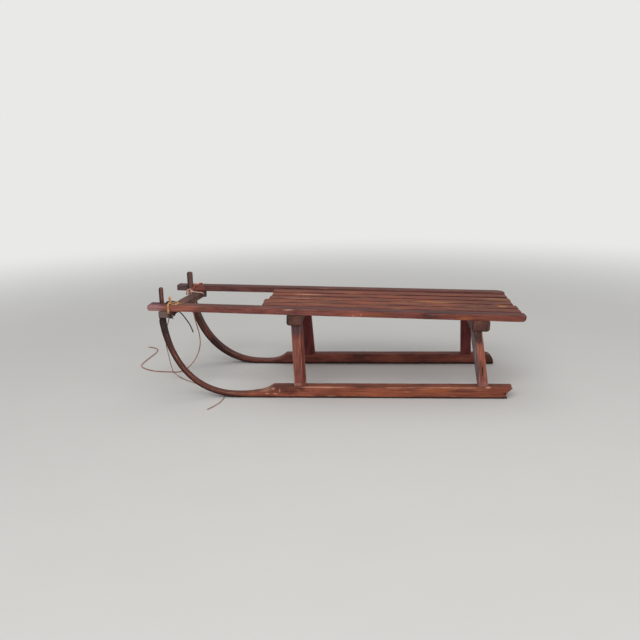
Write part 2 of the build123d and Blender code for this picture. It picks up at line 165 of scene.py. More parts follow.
def between(pair: Pair, y: float) -> float:
    """Value at y of a size that changes evenly from the left rail to the right one."""
    return pair[0] + (pair[1] - pair[0]) * (y / RAIL_MID + 1) / 2


def underside(x: float, y: float = 0.0) -> float:
    """Height of the seat's underside at x and y, mm."""
    return between(SEAT_FRONT_Z, y) - between(SEAT_DROP, y) * x / SEAT_LENGTH


@dataclass(frozen=True)
class Lie:
    """How a stick lies: the place of its zero and its three directions."""

    origin: Vector
    along: Vector
    across: Vector
    off: Vector

    def at(self, x: float, y: float, up: float) -> Vector:
        """Point in metres for a place in the stick's own frame in mm."""
        return self.origin + (self.along * x + self.across * y + self.off * up) * MM


def board_lie(y: float) -> Lie:
    """Lie of a seat board that runs front to back.

    Args:
        y: Where it lies across the sled, mm.

    Returns:
        Its frame, x from the front tip and z from its underside.
    """
    tilt = math.atan(between(SEAT_DROP, y) / SEAT_LENGTH)
    along, off = Vector((math.cos(tilt), 0.0, -math.sin(tilt))), Vector((math.sin(tilt), 0.0, math.cos(tilt)))
    return Lie(spot(0.0, 0.0, between(SEAT_FRONT_Z, y) + FIT), along, ACROSS, off)


def under_lie(x: float) -> Lie:
    """Lie of a stick that runs across the sled under the seat.

    Args:
        x: Middle of the stick from the front tip, mm.

    Returns:
        Its frame, x still from the front tip and z from its top face.
    """
    tilt = math.atan(between(SEAT_DROP, 0.0) / SEAT_LENGTH)
    roll = math.atan((underside(x, RAIL_MID) - underside(x, -RAIL_MID)) / (2 * RAIL_MID))
    along = Vector((math.cos(tilt), 0.0, -math.sin(tilt)))
    across = Vector((math.sin(tilt) * math.sin(roll), math.cos(roll), math.cos(tilt) * math.sin(roll)))
    return Lie(spot(x, 0.0, underside(x)) - along * x * MM, along, across, along.cross(across))


# ---------------------------------------------------------------- scene helpers
def put(name: str, data: Any) -> bpy.types.Object:
    """Put a mesh, curve, lamp or camera into the scene.

    Args:
        name: Name of the object.
        data: What the object shows.

    Returns:
        Object at the frame's origin.
    """
    made = bpy.data.objects.new(name, data)
    bpy.context.scene.collection.objects.link(made)
    return made


def put_mesh(name: str, points: Sequence[Vector], faces: Sequence[Sequence[int]],
             kept: dict[str, Sequence[float] | Sequence[Vector]], crease: float) -> bpy.types.Object:
    """Put a smoothly shaded mesh into the scene.

    Args:
        name: Name of the object and its mesh.
        points: Its points in metres.
        faces: Numbers of the points round each face.
        kept: What its material reads per point, numbers or places in the pattern.
        crease: Angle from which an edge stays sharp, degrees.

    Returns:
        Object at the frame's origin, without a material.
    """
    mesh = bpy.data.meshes.new(name)
    mesh.from_pydata([tuple(p) for p in points], [], faces)
    for told, values in kept.items():
        if isinstance(values[0], Vector):
            flat = [part for value in values for part in value]
            mesh.attributes.new(told, "FLOAT_VECTOR", "POINT").data.foreach_set("vector", flat)
        else:
            mesh.attributes.new(told, "FLOAT", "POINT").data.foreach_set("value", values)
    turn_outward(mesh)
    mesh.shade_smooth()
    mesh.set_sharp_from_angle(angle=math.radians(crease))
    return put(name, mesh)


def turn_outward(mesh: bpy.types.Mesh) -> None:
    """Turn the faces of a closed mesh so that they look outward.

    Args:
        mesh: The mesh.
    """
    volume = 0.0
    for face in mesh.polygons:
        corners = [mesh.vertices[i].co for i in face.vertices]
        for i in range(1, len(corners) - 1):
            volume += corners[0].dot(corners[i].cross(corners[i + 1]))
    if volume < 0:
        mesh.flip_normals()


def wall(one: Sequence[int], two: Sequence[int]) -> list[tuple[int, ...]]:
    """Faces between two rings of points of one count."""
    return [(one[i - 1], one[i], two[i], two[i - 1]) for i in (*range(1, len(one)), 0)]


def smooth_line(name: str, points: Iterable[Vector], resolution: int) -> bpy.types.Curve:
    """Draw a smooth line from the first point to the last one.

    Args:
        name: Name of the curve.
        points: Points in metres that it bends towards.
        resolution: Steps from point to point.

    Returns:
        The curve, not yet in the scene.
    """
    places = list(points)
    data = bpy.data.curves.new(name, "CURVE")
    data.dimensions = "3D"
    line = data.splines.new("NURBS")
    line.points.add(len(places) - 1)
    for point, place in zip(line.points, places):
        point.co = (*place, 1.0)
    line.order_u = 3
    line.use_endpoint_u = True
    line.resolution_u = resolution
    return data


def report(made: bpy.types.Object, slot: str, nodes: Sequence[str]) -> None:
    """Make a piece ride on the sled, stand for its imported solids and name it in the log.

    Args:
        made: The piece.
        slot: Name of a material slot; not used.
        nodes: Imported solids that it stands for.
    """
    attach(made, BODY)
    if nodes:
        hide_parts(*nodes)
    LOG.info("%s stands for %s", made.name, ", ".join(nodes) or "itself")


# ---------------------------------------------------------------- finishes
BACKDROP = "#e9e9e7"


def linear(code: str) -> tuple[float, float, float, float]:
    """Turn an sRGB hex colour to the linear values that the shaders take.

    Args:
        code: Colour as "#rrggbb".

    Returns:
        Linear red, green, blue and an alpha of one.
    """
    parts = [int(code[i:i + 2], 16) / 255 for i in (1, 3, 5)]
    red, green, blue = (p / 12.92 if p <= 0.04045 else ((p + 0.055) / 1.055) ** 2.4 for p in parts)
    return red, green, blue, 1.0


def add_node(tree: Tree, kind: str, settings: dict[str, Any] | None = None,
             values: dict[int | str, Any] | None = None,
             links: dict[int | str, Socket] | None = None) -> Node:
    """Add one shader node.

    Args:
        tree: Node tree that takes the node.
        kind: Node type without its ShaderNode beginning.
        settings: Properties of the node.
        values: Values of its inputs.
        links: Outputs that its inputs are joined to.

    Returns:
        The new node.
    """
    node = tree.nodes.new("ShaderNode" + kind)
    for name, value in (settings or {}).items():
        setattr(node, name, value)
    for name, value in (values or {}).items():
        node.inputs[name].default_value = value
    for name, (source, output) in (links or {}).items():
        tree.links.new(source.outputs[output], node.inputs[name])
    return node


def ranged(values: Range) -> dict[str, float]:
    """Inputs that move one range to another: its start and end, and theirs."""
    return dict(zip(("From Min", "From Max", "To Min", "To Max"), values))


def relief(values: Pair) -> dict[str, float]:
    """Inputs of a relief: its strength and its depth in metres."""
    return dict(zip(("Strength", "Distance"), values))


def new_material(name: str) -> tuple[bpy.types.Material, Node]:
    """Start an empty node material.

    Args:
        name: Name of the finish.

    Returns:
        The material and its output node.
    """
    material = bpy.data.materials.new(name)
    material.use_nodes = True
    material.node_tree.nodes.clear()
    return material, material.node_tree.nodes.new("ShaderNodeOutputMaterial")


def paint_ramp(node: Node, places: Sequence[float], codes: Sequence[str]) -> None:
    """Set the colours of a ramp.

    Args:
        node: Ramp node.
        places: Places from 0 to 1.
        codes: Their sRGB hex colours.
    """
    ramp = node.color_ramp
    while len(ramp.elements) < len(places):
        ramp.elements.new(0.5)
    for element, place, code in zip(ramp.elements, places, codes):
        element.position = place
        element.color = linear(code)


def seen_by_eye(tree: Tree) -> Node:
    """Tell what the eye meets, straight, mirrored or through a pane, from what only lights.

    Args:
        tree: Node tree that takes the test.

    Returns:
        Node that gives 1 for what the eye meets.
    """
    path = add_node(tree, "LightPath")
    first = add_node(tree, "Math", {"operation": "MAXIMUM"}, links={
        0: (path, "Is Camera Ray"), 1: (path, "Is Glossy Ray")})
    return add_node(tree, "Math", {"operation": "MAXIMUM"}, links={
        0: (first, 0), 1: (path, "Is Transmission Ray")})


@dataclass(frozen=True)
class Mark:
    """One place on a stick with another colour, such as a rubbed chip or a soaked-in stain.

    A bare mark lies over the grain, as raw wood, soil or painted shade does. The others lie under it.
    Its rim is where the colour has faded out, in half sizes of the mark.
    """

    at: Triple
    size: Triple
    colour: str
    share: float = 0.8
    soft: float = 0.45
    bare: bool = False
    fray: float = 1.1
    rim: float = 1.5

    def paint(self, tree: Tree, place: Node, ragged: Node,
              under: Node) -> Node:
        """Lay the mark over a colour.

        Args:
            tree: Node tree of the wood.
            place: Geometry node that gives the position.
            ragged: Noise that frays the mark's edge.
            under: Node with the colour under it.

        Returns:
            Node with the colour and the mark.
        """
        away = add_node(tree, "VectorMath", {"operation": "SUBTRACT"}, values={1: tuple(spot(*self.at))},
                        links={0: (place, "Position")})
        scaled = add_node(tree, "VectorMath", {"operation": "MULTIPLY"},
                          values={1: tuple(1 / (size * MM) for size in self.size)}, links={0: (away, 0)})
        far = add_node(tree, "VectorMath", {"operation": "LENGTH"}, links={0: (scaled, 0)})
        torn = add_node(tree, "Math", {"operation": "MULTIPLY_ADD"}, values={1: self.fray},
                        links={0: (ragged, "Fac"), 2: (far, "Value")})
        fading = (self.rim - self.soft, self.rim + 0.5 * self.soft, self.share, 0.0)
        share = add_node(tree, "MapRange", {"interpolation_type": "SMOOTHSTEP"}, ranged(fading),
                         {0: (torn, 0)})
        return add_node(tree, "MixRGB", values={2: linear(self.colour)}, links={0: (share, 0), 1: (under, 0)})


@dataclass(frozen=True)
class StainedBeech:
    """Beech or ash, planed, stained red-brown by brush and worn by decades outdoors.

    The eye sees soft blotches of stain, fine dark grain along each stick, paler
    rubbed streaks and edges where the stain is gone, and grey dust with painted
    shade on what faces up. Painted shade can also darken a slat's sides, and a dark
    line of damp soil and painted contact shadow can run above the steel.
    Cells of the pattern are given in mm across and along the grain.
    """

    name: str
    deep: str = "#4a2822"
    red: str = "#7c4336"
    bright: str = "#985441"
    worn: str = "#c0856a"
    dust_and_shade_tone: str = "#43322f"
    wear: float = 0.5
    dust_and_shade: float = 0.4
    settle: float = 0.1
    flank_shade: float = 1.0
    bevel: str = ""
    raw: str = ""
    sole: float = 0.0
    marks: tuple[Mark, ...] = ()
    roughness: float = 0.66
    polish: Pair = (-0.08, 0.14)
    specular: float = 0.22
    ior: float = 1.5
    sole_line_tone: str = "#1d1412"
    stain_stops: Triple = (0.34, 0.5, 0.66)
    blotch_mm: Pair = (25.5, 85.0)
    ragged_mm: Pair = (5.0, 34.0)
    grain_mm: Pair = (1.6, 72.0)
    streak_mm: Pair = (3.15, 81.0)
    patch_mm: Pair = (22.0, 130.0)
    told_range: Range = (0.72, 0.96, 0.0, 0.9)
    pore_range: Range = (0.36, 0.62, 0.52, 1.12)
    bare_range: Range = (0.72, 0.84, 0.0, 0.9)
    bare_gain: Pair = (0.14, 0.12)
    edge_gain: float = 0.17
    sole_fray: float = 2.4
    sole_range: Range = (1.2, 3.2, 0.88, 0.0)
    lying_range: Range = (0.35, 0.95, 0.0, 1.0)
    patch_stops: Pair = (0.38, 0.68)
    flank_shade_stops: Pair = (0.3, 0.75)
    ridge: Pair = (0.35, 0.0004)
    dent: Pair = (0.5, 0.0006)

    def build(self) -> bpy.types.Material:
        """Make the wood's material.

        Returns:
            Material whose pattern follows the stick's own grain.
        """
        material, output = new_material(self.name)
        tree = material.node_tree
        grain, edge = (add_node(tree, "Attribute", {"attribute_name": told}) for told in ("grain", "wear"))
        facing = add_node(tree, "NewGeometry")
        upward = add_node(tree, "SeparateXYZ", links={0: (facing, "Normal")})

        def along(cell: Pair, detail: float, rough: float) -> Node:
            """Noise drawn out along the grain.

            Args:
                cell: Its cells across and along the grain, mm.
                detail: How many finer noises lie in it.
                rough: How much they weigh.

            Returns:
                The noise.
            """
            across = 1 / (cell[0] * MM)
            scaled = add_node(tree, "Mapping", links={"Vector": (grain, "Vector")}, values={
                "Scale": (1 / (cell[1] * MM), across, across)})
            return add_node(tree, "TexNoise", values={"Scale": 1.0, "Detail": detail, "Roughness": rough},
                            links={"Vector": (scaled, 0)})

        # stain that took unevenly, in cells as long as a brush stroke
        blotch = along(self.blotch_mm, detail=4.0, rough=0.6)
        tone = add_node(tree, "ValToRGB", links={0: (blotch, "Fac")})
        paint_ramp(tone, self.stain_stops, (self.deep, self.red, self.bright))
        # planed bevels, a fresh break and stained places each have a colour of their own
        ragged = along(self.ragged_mm, detail=4.0, rough=0.6)
        for told, code in (("bevel", self.bevel), ("raw", self.raw)):
            if code:
                where = add_node(tree, "Attribute", {"attribute_name": told})
                share = add_node(tree, "MapRange", {}, ranged(self.told_range), {0: (where, "Fac")})
                tone = add_node(tree, "MixRGB", values={2: linear(code)}, links={0: (share, 0), 1: (tone, 0)})
        for mark in self.marks:
            if not mark.bare:
                tone = mark.paint(tree, facing, ragged, tone)
        # pores of the wood: the real ones are 0.1 mm, drawn coarser so that they show
        pores = along(self.grain_mm, detail=3.0, rough=0.65)
        dark = add_node(tree, "MapRange", {}, ranged(self.pore_range), {0: (pores, "Fac")})
        tone = add_node(tree, "VectorMath", {"operation": "SCALE"}, links={0: (tone, 0), "Scale": (dark, 0)})
        # rubbed streaks, helped on by the edges
        rub = along(self.streak_mm, detail=5.0, rough=0.6)
        edged = add_node(tree, "Math", {"operation": "MULTIPLY_ADD"}, values={1: self.edge_gain},
                         links={0: (edge, "Fac"), 2: (rub, "Fac")})
        low, high, none, full = self.bare_range
        rubbed = (low - self.bare_gain[0] * self.wear, high - self.bare_gain[1] * self.wear, none, full)
        bare = add_node(tree, "MapRange", {}, ranged(rubbed), {0: (edged, 0)})
        tone = add_node(tree, "MixRGB", values={2: linear(self.worn)}, links={0: (bare, 0), 1: (tone, 0)})
        for mark in self.marks:
            if mark.bare:
                tone = mark.paint(tree, facing, ragged, tone)
        if self.sole:
            # a dark line above the steel strip: damp soil, and painted contact shadow
            height = add_node(tree, "Attribute", {"attribute_name": "low"})
            frayed = add_node(tree, "Math", {"operation": "MULTIPLY_ADD"}, values={1: self.sole_fray},
                              links={0: (ragged, "Fac"), 2: (height, "Fac")})
            start, stop, full, none = self.sole_range
            sole_line_band = (self.sole + start, self.sole + stop, full, none)
            line = add_node(tree, "MapRange", {}, ranged(sole_line_band), {0: (frayed, 0)})
            tone = add_node(tree, "MixRGB", values={2: linear(self.sole_line_tone)}, links={0: (line, 0), 1: (tone, 0)})
        # dust settles on what faces up, in patches of a hand's width; the same darkening paints the shade on upward
        # faces
        patch = along(self.patch_mm, detail=4.0, rough=0.55)
        lying = add_node(tree, "MapRange", {}, ranged(self.lying_range), {0: (upward, "Z")})
        patchy = add_node(tree, "MapRange", {}, ranged((*self.patch_stops, self.settle, 1.0)),
                          {0: (patch, "Fac")})
        dust_and_shade_mask = add_node(tree, "Math", {"operation": "MULTIPLY"}, links={0: (lying, 0), 1: (patchy, 0)})
        share = add_node(tree, "Math", {"operation": "MULTIPLY"}, values={1: self.dust_and_shade}, links={0: (dust_and_shade_mask, 0)})
        tone = add_node(tree, "MixRGB", values={2: linear(self.dust_and_shade_tone)}, links={0: (share, 0), 1: (tone, 0)})
        if self.flank_shade < 1:
            # painted shade: the sides of a slat, which look into a narrow gap, are darkened
            level = add_node(tree, "Math", {"operation": "ABSOLUTE"}, links={0: (upward, "Y")})
            painted_gap_shade = add_node(tree, "MapRange", {}, ranged((*self.flank_shade_stops, 1.0, self.flank_shade)),
                             {0: (level, 0)})
            tone = add_node(tree, "VectorMath", {"operation": "SCALE"}, links={0: (tone, 0), "Scale": (painted_gap_shade, 0)})
        ridges = add_node(tree, "Bump", values=relief(self.ridge),
                          links={"Height": (pores, "Fac")})
        dents = add_node(tree, "Bump", values=relief(self.dent),
                         links={"Height": (rub, "Fac"), "Normal": (ridges, 0)})
        matt = (0.0, 1.0, self.roughness + self.polish[0], self.roughness + self.polish[1])
        gloss = add_node(tree, "MapRange", {}, ranged(matt), {0: (blotch, "Fac")})
        shader = add_node(tree, "BsdfPrincipled", values={"IOR": self.ior, "Specular IOR Level": self.specular},
                          links={"Base Color": (tone, 0), "Roughness": (gloss, 0), "Normal": (dents, 0)})
        tree.links.new(shader.outputs[0], output.inputs[0])
        return material


@dataclass(frozen=True)
class RustedSteel:
    """Mild steel band, hot rolled, gone brown with rust and rubbed dark by snow and grit.

    The eye sees dull brown patches, with a faint dark gleam where the steel is bare.
    """

    name: str
    dark: str = "#2b1d19"
    rust: str = "#5c3223"
    bright: str = "#7d4a30"
    rust_mm: float = 14.0
    pits_to_patch: float = 9.0
    roughness: float = 0.8
    rust_stops: Triple = (0.36, 0.52, 0.7)
    crust_range: Range = (0.4, 0.6, 0.2, 0.02)
    pit: Pair = (0.6, 0.0005)

    def build(self) -> bpy.types.Material:
        """Make the band's material.

        Returns:
            Rough metal under patches of rust.
        """
        material, output = new_material(self.name)
        tree = material.node_tree
        grain = add_node(tree, "Attribute", {"attribute_name": "grain"})
        cells = 1 / (self.rust_mm * MM)
        patch = add_node(tree, "TexNoise", values={"Scale": cells, "Detail": 6.0, "Roughness": 0.65},
                         links={"Vector": (grain, "Vector")})
        fine = add_node(tree, "TexNoise", values={"Scale": self.pits_to_patch * cells, "Detail": 3.0},
                        links={"Vector": (grain, "Vector")})
        tone = add_node(tree, "ValToRGB", links={0: (patch, "Fac")})
        paint_ramp(tone, self.rust_stops, (self.dark, self.rust, self.bright))
        crust = add_node(tree, "MapRange", {}, ranged(self.crust_range), {0: (patch, "Fac")})
        pits = add_node(tree, "Bump", values=relief(self.pit),
                        links={"Height": (fine, "Fac")})
        shader = add_node(tree, "BsdfPrincipled", values={"Roughness": self.roughness}, links={
            "Base Color": (tone, 0), "Metallic": (crust, 0), "Normal": (pits, 0)})
        tree.links.new(shader.outputs[0], output.inputs[0])
        return material


@dataclass(frozen=True)
class TwistedTwine:
    """Plant-fibre twine, spun and laid, whose hairy strands show as small slanting hills.

    Single fibres are 0.1 mm, drawn at a third of the lay so that they show.
    """

    name: str
    dark: str = "#7a4a24"
    light: str = "#d29a58"
    lay_mm: float = 3.2
    shade_below: float = 0.0
    soil_mm: float = 30.0
    fade_mm: float = 7.0
    shade_below_share: float = 0.16
    valley_shade: float = 0.5
    fibre_stops: Pair = (0.38, 0.6)
    hair: Pair = (0.5, 0.0003)
    ior: float = 1.5
    roughness: float = 0.9
    specular: float = 0.2
    sheen: Pair = (0.25, 0.5)

    def build(self) -> bpy.types.Material:
        """Make the twine's material.

        Returns:
            Dull fibre with painted shade in the valleys between its strands.
        """
        material, output = new_material(self.name)
        tree = material.node_tree
        place = add_node(tree, "NewGeometry")
        fibre, soil = (add_node(tree, "TexNoise", values={"Scale": cells, "Detail": 3.0},
                                links={"Vector": (place, "Position")})
                       for cells in (3 / (self.lay_mm * MM), 1 / (self.soil_mm * MM)))
        both = add_node(tree, "Math", {"operation": "ADD"}, links={0: (fibre, "Fac"), 1: (soil, "Fac")})
        half = add_node(tree, "Math", {"operation": "MULTIPLY"}, values={1: 0.5}, links={0: (both, 0)})
        tone = add_node(tree, "ValToRGB", links={0: (half, 0)})
        paint_ramp(tone, self.fibre_stops, (self.dark, self.light))
        # painted shade in the valleys between the plies
        valley = add_node(tree, "Attribute", {"attribute_name": "valley"})
        depth = add_node(tree, "MapRange", {}, ranged((0.0, 1.0, 1.0, self.valley_shade)),
                         {0: (valley, "Fac")})
        tone = add_node(tree, "VectorMath", {"operation": "SCALE"}, links={0: (tone, 0), "Scale": (depth, 0)})
        if self.shade_below:
            # painted shade on what hangs under the rail
            height = add_node(tree, "SeparateXYZ", links={0: (place, "Position")})
            fading = ((self.shade_below - self.fade_mm) * MM, self.shade_below * MM, self.shade_below_share, 1.0)
            out_of_shade = add_node(tree, "MapRange", {}, ranged(fading), {0: (height, "Z")})
            tone = add_node(tree, "VectorMath", {"operation": "SCALE"}, links={0: (tone, 0), "Scale": (out_of_shade, 0)})
        hair = add_node(tree, "Bump", values=relief(self.hair),
                        links={"Height": (fibre, "Fac")})
        shader = add_node(tree, "BsdfPrincipled", values={
            "Roughness": self.roughness, "IOR": self.ior, "Specular IOR Level": self.specular,
            "Sheen Weight": self.sheen[0], "Sheen Roughness": self.sheen[1]},
            links={"Base Color": (tone, 0), "Normal": (hair, 0)})
        tree.links.new(shader.outputs[0], output.inputs[0])
        return material


@dataclass(frozen=True)
class PaleFloor:
    """Matt pale studio paper, swept flat, that only shows the sled's soft shadow."""

    name: str = "matt_studio_paper"
    colour: str = "#dddcd9"
    far: str = BACKDROP
    mottle: Pair = (0.985, 1.015)
    mottle_cells: float = 6.0
    roughness: float = 0.95
    specular: float = 0.1
    fade_m: Pair = (0.9, 3.6)

    def build(self) -> bpy.types.Material:
        """Make the floor's material.

        Returns:
            Plain matt paper with a faint mottle.
        """
        material, output = new_material(self.name)
        tree = material.node_tree
        place = add_node(tree, "NewGeometry")
        mottle = add_node(tree, "TexNoise", values={"Scale": self.mottle_cells, "Detail": 2.0},
                          links={"Vector": (place, "Position")})
        level = add_node(tree, "MapRange", {}, ranged((0.0, 1.0, *self.mottle)), {0: (mottle, "Fac")})
        tone = add_node(tree, "VectorMath", {"operation": "SCALE"}, values={0: linear(self.colour)[:3]},
                        links={"Scale": (level, 0)})
        shader = add_node(tree, "BsdfPrincipled", links={"Base Color": (tone, 0)}, values={
            "Roughness": self.roughness, "Specular IOR Level": self.specular})
        # well away from the sled the paper runs into the plain background, for the eye alone
        away = add_node(tree, "VectorMath", {"operation": "LENGTH"}, links={0: (place, "Position")})
        faded = add_node(tree, "MapRange", {"interpolation_type": "SMOOTHSTEP"},
                         ranged((*self.fade_m, 0.0, 1.0)), {0: (away, "Value")})
        share = add_node(tree, "Math", {"operation": "MULTIPLY"}, links={0: (faded, 0), 1: (seen_by_eye(tree), 0)})
        glow = add_node(tree, "Emission", values={"Color": linear(self.far), "Strength": 1.0})
        mix = add_node(tree, "MixShader", links={0: (share, 0), 1: (shader, 0), 2: (glow, 0)})
        tree.links.new(mix.outputs[0], output.inputs[0])
        return material


Finish = StainedBeech | RustedSteel | TwistedTwine | PaleFloor
BUILT: dict[str, bpy.types.Material] = {}


def finish_of(kind: Finish) -> bpy.types.Material:
    """Give the material of a finish, made the first time it is asked for.

    Args:
        kind: The finish.

    Returns:
        Its material.
    """
    if kind.name not in BUILT:
        BUILT[kind.name] = kind.build()
    return BUILT[kind.name]


# rubbed, stained and dirty places, and places of painted shade: middle, half sizes, colour, share, softness, bare
SEAT_MARKS = (
    Mark((930, 0, 228), (120, 175, 12), "#5c332b", 0.4), Mark((415, 36, 244), (44, 7, 6), "#e0a886", 0.75, 0.5, True),
    Mark((390, -21, 245), (46, 6, 6), "#dca080", 0.66, 0.5, True), Mark((574, 12, 239), (50, 8, 6), "#c88a62", 0.6),
    Mark((784, -26, 232), (64, 6.5, 6), "#d8985e", 0.75, 0.5, True),
    Mark((955, 38, 227), (46, 9, 6), "#bc7e54", 0.75), Mark((955, -58, 226.5), (14, 12, 5), "#dc965c", 0.65),
    Mark((444, -87, 243.5), (52, 6, 6), "#d0926a", 0.65), Mark((692, -47, 235), (52, 7, 6), "#c48058", 0.65),
    Mark((877, 2, 229.5), (50, 7, 5), "#3e2425", 0.75), Mark((933, -12, 227.5), (34, 7, 5), "#46282a", 0.65),
    Mark((563, -30, 239.5), (48, 9, 6), "#a85e3c", 0.7), Mark((520, 90, 240.5), (70, 12, 6), "#a4684e", 0.55),
    Mark((800, 75, 232), (80, 12, 6), "#98563e", 0.55), Mark((660, 85, 236), (60, 9, 6), "#50302c", 0.5),
    Mark((500, -60, 241), (70, 9, 6), "#54322e", 0.5))
RAIL_MARKS = (
    Mark((850, -160, 220), (230, 30, 22), "#7e4230", 0.55), Mark((16, -166, 252), (34, 14, 14), "#c08c8e", 0.75),
    Mark((88, -160, 252), (56, 34, 16), "#b8705a", 0.6), Mark((150, -166, 250), (10, 14, 14), "#72503f", 0.7),
    Mark((570, -166, 230), (95, 10, 7), "#ac6040", 0.5), Mark((753, -166, 228), (30, 12, 10), "#4a3030", 0.7),
    Mark((780, -150, 232), (70, 16, 7), "#3c2a2b", 0.8), Mark((842, -166, 219), (22, 6, 5), "#ac643a", 0.7, 0.7),
    Mark((379, -166, 243.8), (17, 4, 1.5), "#f0b8a4", 0.7, 0.6, True),
    Mark((550, -166, 227), (3, 4, 1.8), "#dca492", 0.7, 0.4, True),
    Mark((571, -166, 229.6), (3, 4, 1.8), "#dca492", 0.7, 0.4, True),
    # painted shade on the rail's rear end face
    Mark((999, -160, 213), (5, 30, 14), "#33201c", 0.8, 0.7, True))
FOOT_MARKS = (
    Mark((880, -172, 20), (130, 20, 22), "#884834", 0.6), Mark((165, -160, 22), (125, 34, 36), "#5e3730", 0.78),
    # the near-black mark at height 186 is painted shade at the top of the near bend, under the bar
    Mark((82, -158, 92), (46, 30, 50), "#52302e", 0.85), Mark((40, -156, 186), (34, 30, 62), "#2a1d1b", 0.95),
    Mark((34, -156, 212), (30, 30, 30), "#382b28", 0.92, 0.5, True),
    Mark((52, -158, 150), (34, 30, 36), "#4f3031", 0.75, 0.6, True),
    Mark((100, -158, 70), (50, 30, 44), "#62302b", 0.55, 0.6, True),
    Mark((190, -158, 16), (70, 30, 20), "#6e3c31", 0.45, 0.6, True),
    Mark((33, -138, 260), (16, 16, 13), "#4f3a36", 0.7, 0.5, True),
    Mark((35, -138, 286), (24, 16, 29), "#6c4e4a", 0.85), Mark((773, -172, 24), (54, 6, 9), "#b4663e", 0.55),
    Mark((600, -172, 17), (150, 8, 9), "#b0603e", 0.5), Mark((842, -172, 22), (46, 5, 4.5), "#583430", 0.6, 0.7),
    Mark((411, -172, 25), (7, 5, 4), "#4a2e28", 0.55), Mark((951, -160, 15), (8, 20, 4.5), "#1e1312", 0.92),
    Mark((450, -171, 32), (42, 5, 2.2), "#e0a890", 0.75, 0.5, True),
    Mark((795, -171, 32), (18, 5, 2.2), "#d8a088", 0.7, 0.5, True),
    Mark((906, -170, 32.5), (7, 6, 2.4), "#f6d0b0", 0.9, 0.35, True),
    Mark((316, -172, 13), (6, 4, 2.0), "#d8a898", 0.6, 0.4, True),
    Mark((338, -172, 12), (8, 4, 1.8), "#d8a898", 0.6, 0.4, True),
    Mark((333, -172, 27), (5, 4, 4.0), "#d8a898", 0.55, 0.5, True),
    Mark((350, -172, 21), (2.5, 4, 6.0), "#d0a090", 0.5, 0.5, True),
    Mark((305, -158, 24), (32, 24, 8), "#c8987c", 0.5, 0.5, True),
    Mark((66, -170, 112), (3, 5, 9), "#dcaca4", 0.5, 0.4, True))
FAR_FOOT_MARKS = (
    # the three dark marks on the far bend, here and on the next line, are painted shade under the seat
    Mark((135, 140, 52), (80, 34, 50), "#3e2424", 0.88), Mark((55, 140, 180), (40, 34, 72), "#3f302e", 0.85),
    Mark((90, 140, 110), (60, 34, 90), "#3a2525", 0.4, 0.6, True),
    Mark((40, 138, 272), (28, 18, 42), "#725850", 0.92), Mark((966, 150, 20), (24, 34, 22), "#553728", 0.85))
FRONT_POST_MARKS = (
    # painted shade under the seat on the near front post's upper part
    Mark((396, -165, 197), (34, 26, 28), "#5c4446", 0.88),
    Mark((398, -168, 38), (14, 12, 5), "#c49084", 0.35, 0.5, True))
REAR_POST_MARKS = (
    # the first mark here is painted shade under the seat on the near rear post's upper part
    Mark((884, -165, 181), (22, 26, 33), "#46302f", 0.9, 0.25), Mark((893, -168, 122), (15, 20, 30), "#b86a54", 0.55),
    Mark((888, -168, 40), (16, 12, 12), "#b8827c", 0.5),
    Mark((890.2, -168, 76), (1.7, 8, 15), "#2c1c1a", 0.95, 0.25, True),
    Mark((860, -164, 204), (14, 22, 24), "#4c4040", 0.9, 0.5, True),
    Mark((886, -168, 50), (12, 12, 14), "#9c5450", 0.5, 0.6))
FAR_RAIL_MARKS = (
    Mark((70, 131.7, 248), (17, 7, 14), "#9c5c50", 0.85), Mark((18, 131.7, 250), (22, 9, 16), "#66585a", 0.6),
    Mark((700, 145, 240), (420, 40, 30), "#8a5648", 0.4))

# beech of the slats, the warmest red, with painted shade on their sides in the gaps between them
SEAT_WOOD = StainedBeech(
    "stained_beech_seat", deep="#65372e", red="#944c3b", bright="#ae5f45", worn="#cc9060", dust_and_shade_tone="#503330", wear=0.62,
    dust_and_shade=0.5, settle=0.25, flank_shade=0.42, marks=SEAT_MARKS)
# beech of the rails, pinker, with dust and painted shade on top; the far one is a darker copy with its shade painted
# in
RAIL_WOOD = StainedBeech(
    "stained_beech_rail", deep="#663b36", red="#854d46", bright="#9b5b4f", worn="#bf8474", dust_and_shade_tone="#45292a", wear=0.35,
    dust_and_shade=0.88, settle=0.6, marks=RAIL_MARKS)
# darker copy of the rail wood: the far rail's shade is painted into its colours
FAR_RAIL_WOOD_SHADED = StainedBeech(
    "stained_beech_far_rail", deep="#4c2e2e", red="#683f3d", bright="#7c4c44", worn="#a67260", dust_and_shade_tone="#4d3430",
    wear=0.25, dust_and_shade=0.6, settle=0.4, marks=FAR_RAIL_MARKS)
# ash of the runners, a lighter brown, with a dark line of damp soil and painted contact shadow above the steel
RUNNER_WOOD = StainedBeech(
    "stained_ash_runner", deep="#6a3a2f", red="#985441", bright="#b0644b", worn="#cf9679", dust_and_shade_tone="#5a3a30", wear=0.55,
    dust_and_shade=0.45, settle=0.3, raw="#a8665c", sole=2.6, marks=FOOT_MARKS)
FAR_RUNNER_WOOD = StainedBeech(
    "stained_ash_far_runner", deep="#63372f", red="#8a4c40", bright="#a05c4a", worn="#b07a66", dust_and_shade_tone="#4a3432",
    wear=0.3, dust_and_shade=0.5, settle=0.4, sole=3.6, marks=FAR_FOOT_MARKS)
# beech of the posts, rosy on the near side; the far ones are a darker wine red copy with their shade painted in
FRONT_POST_WOOD = StainedBeech(
    "stained_beech_front_post", deep="#653a33", red="#905248", bright="#a46454", worn="#cb957c", dust_and_shade_tone="#4f3b3a",
    wear=0.42, dust_and_shade=0.3, bevel="#74382c", marks=FRONT_POST_MARKS)
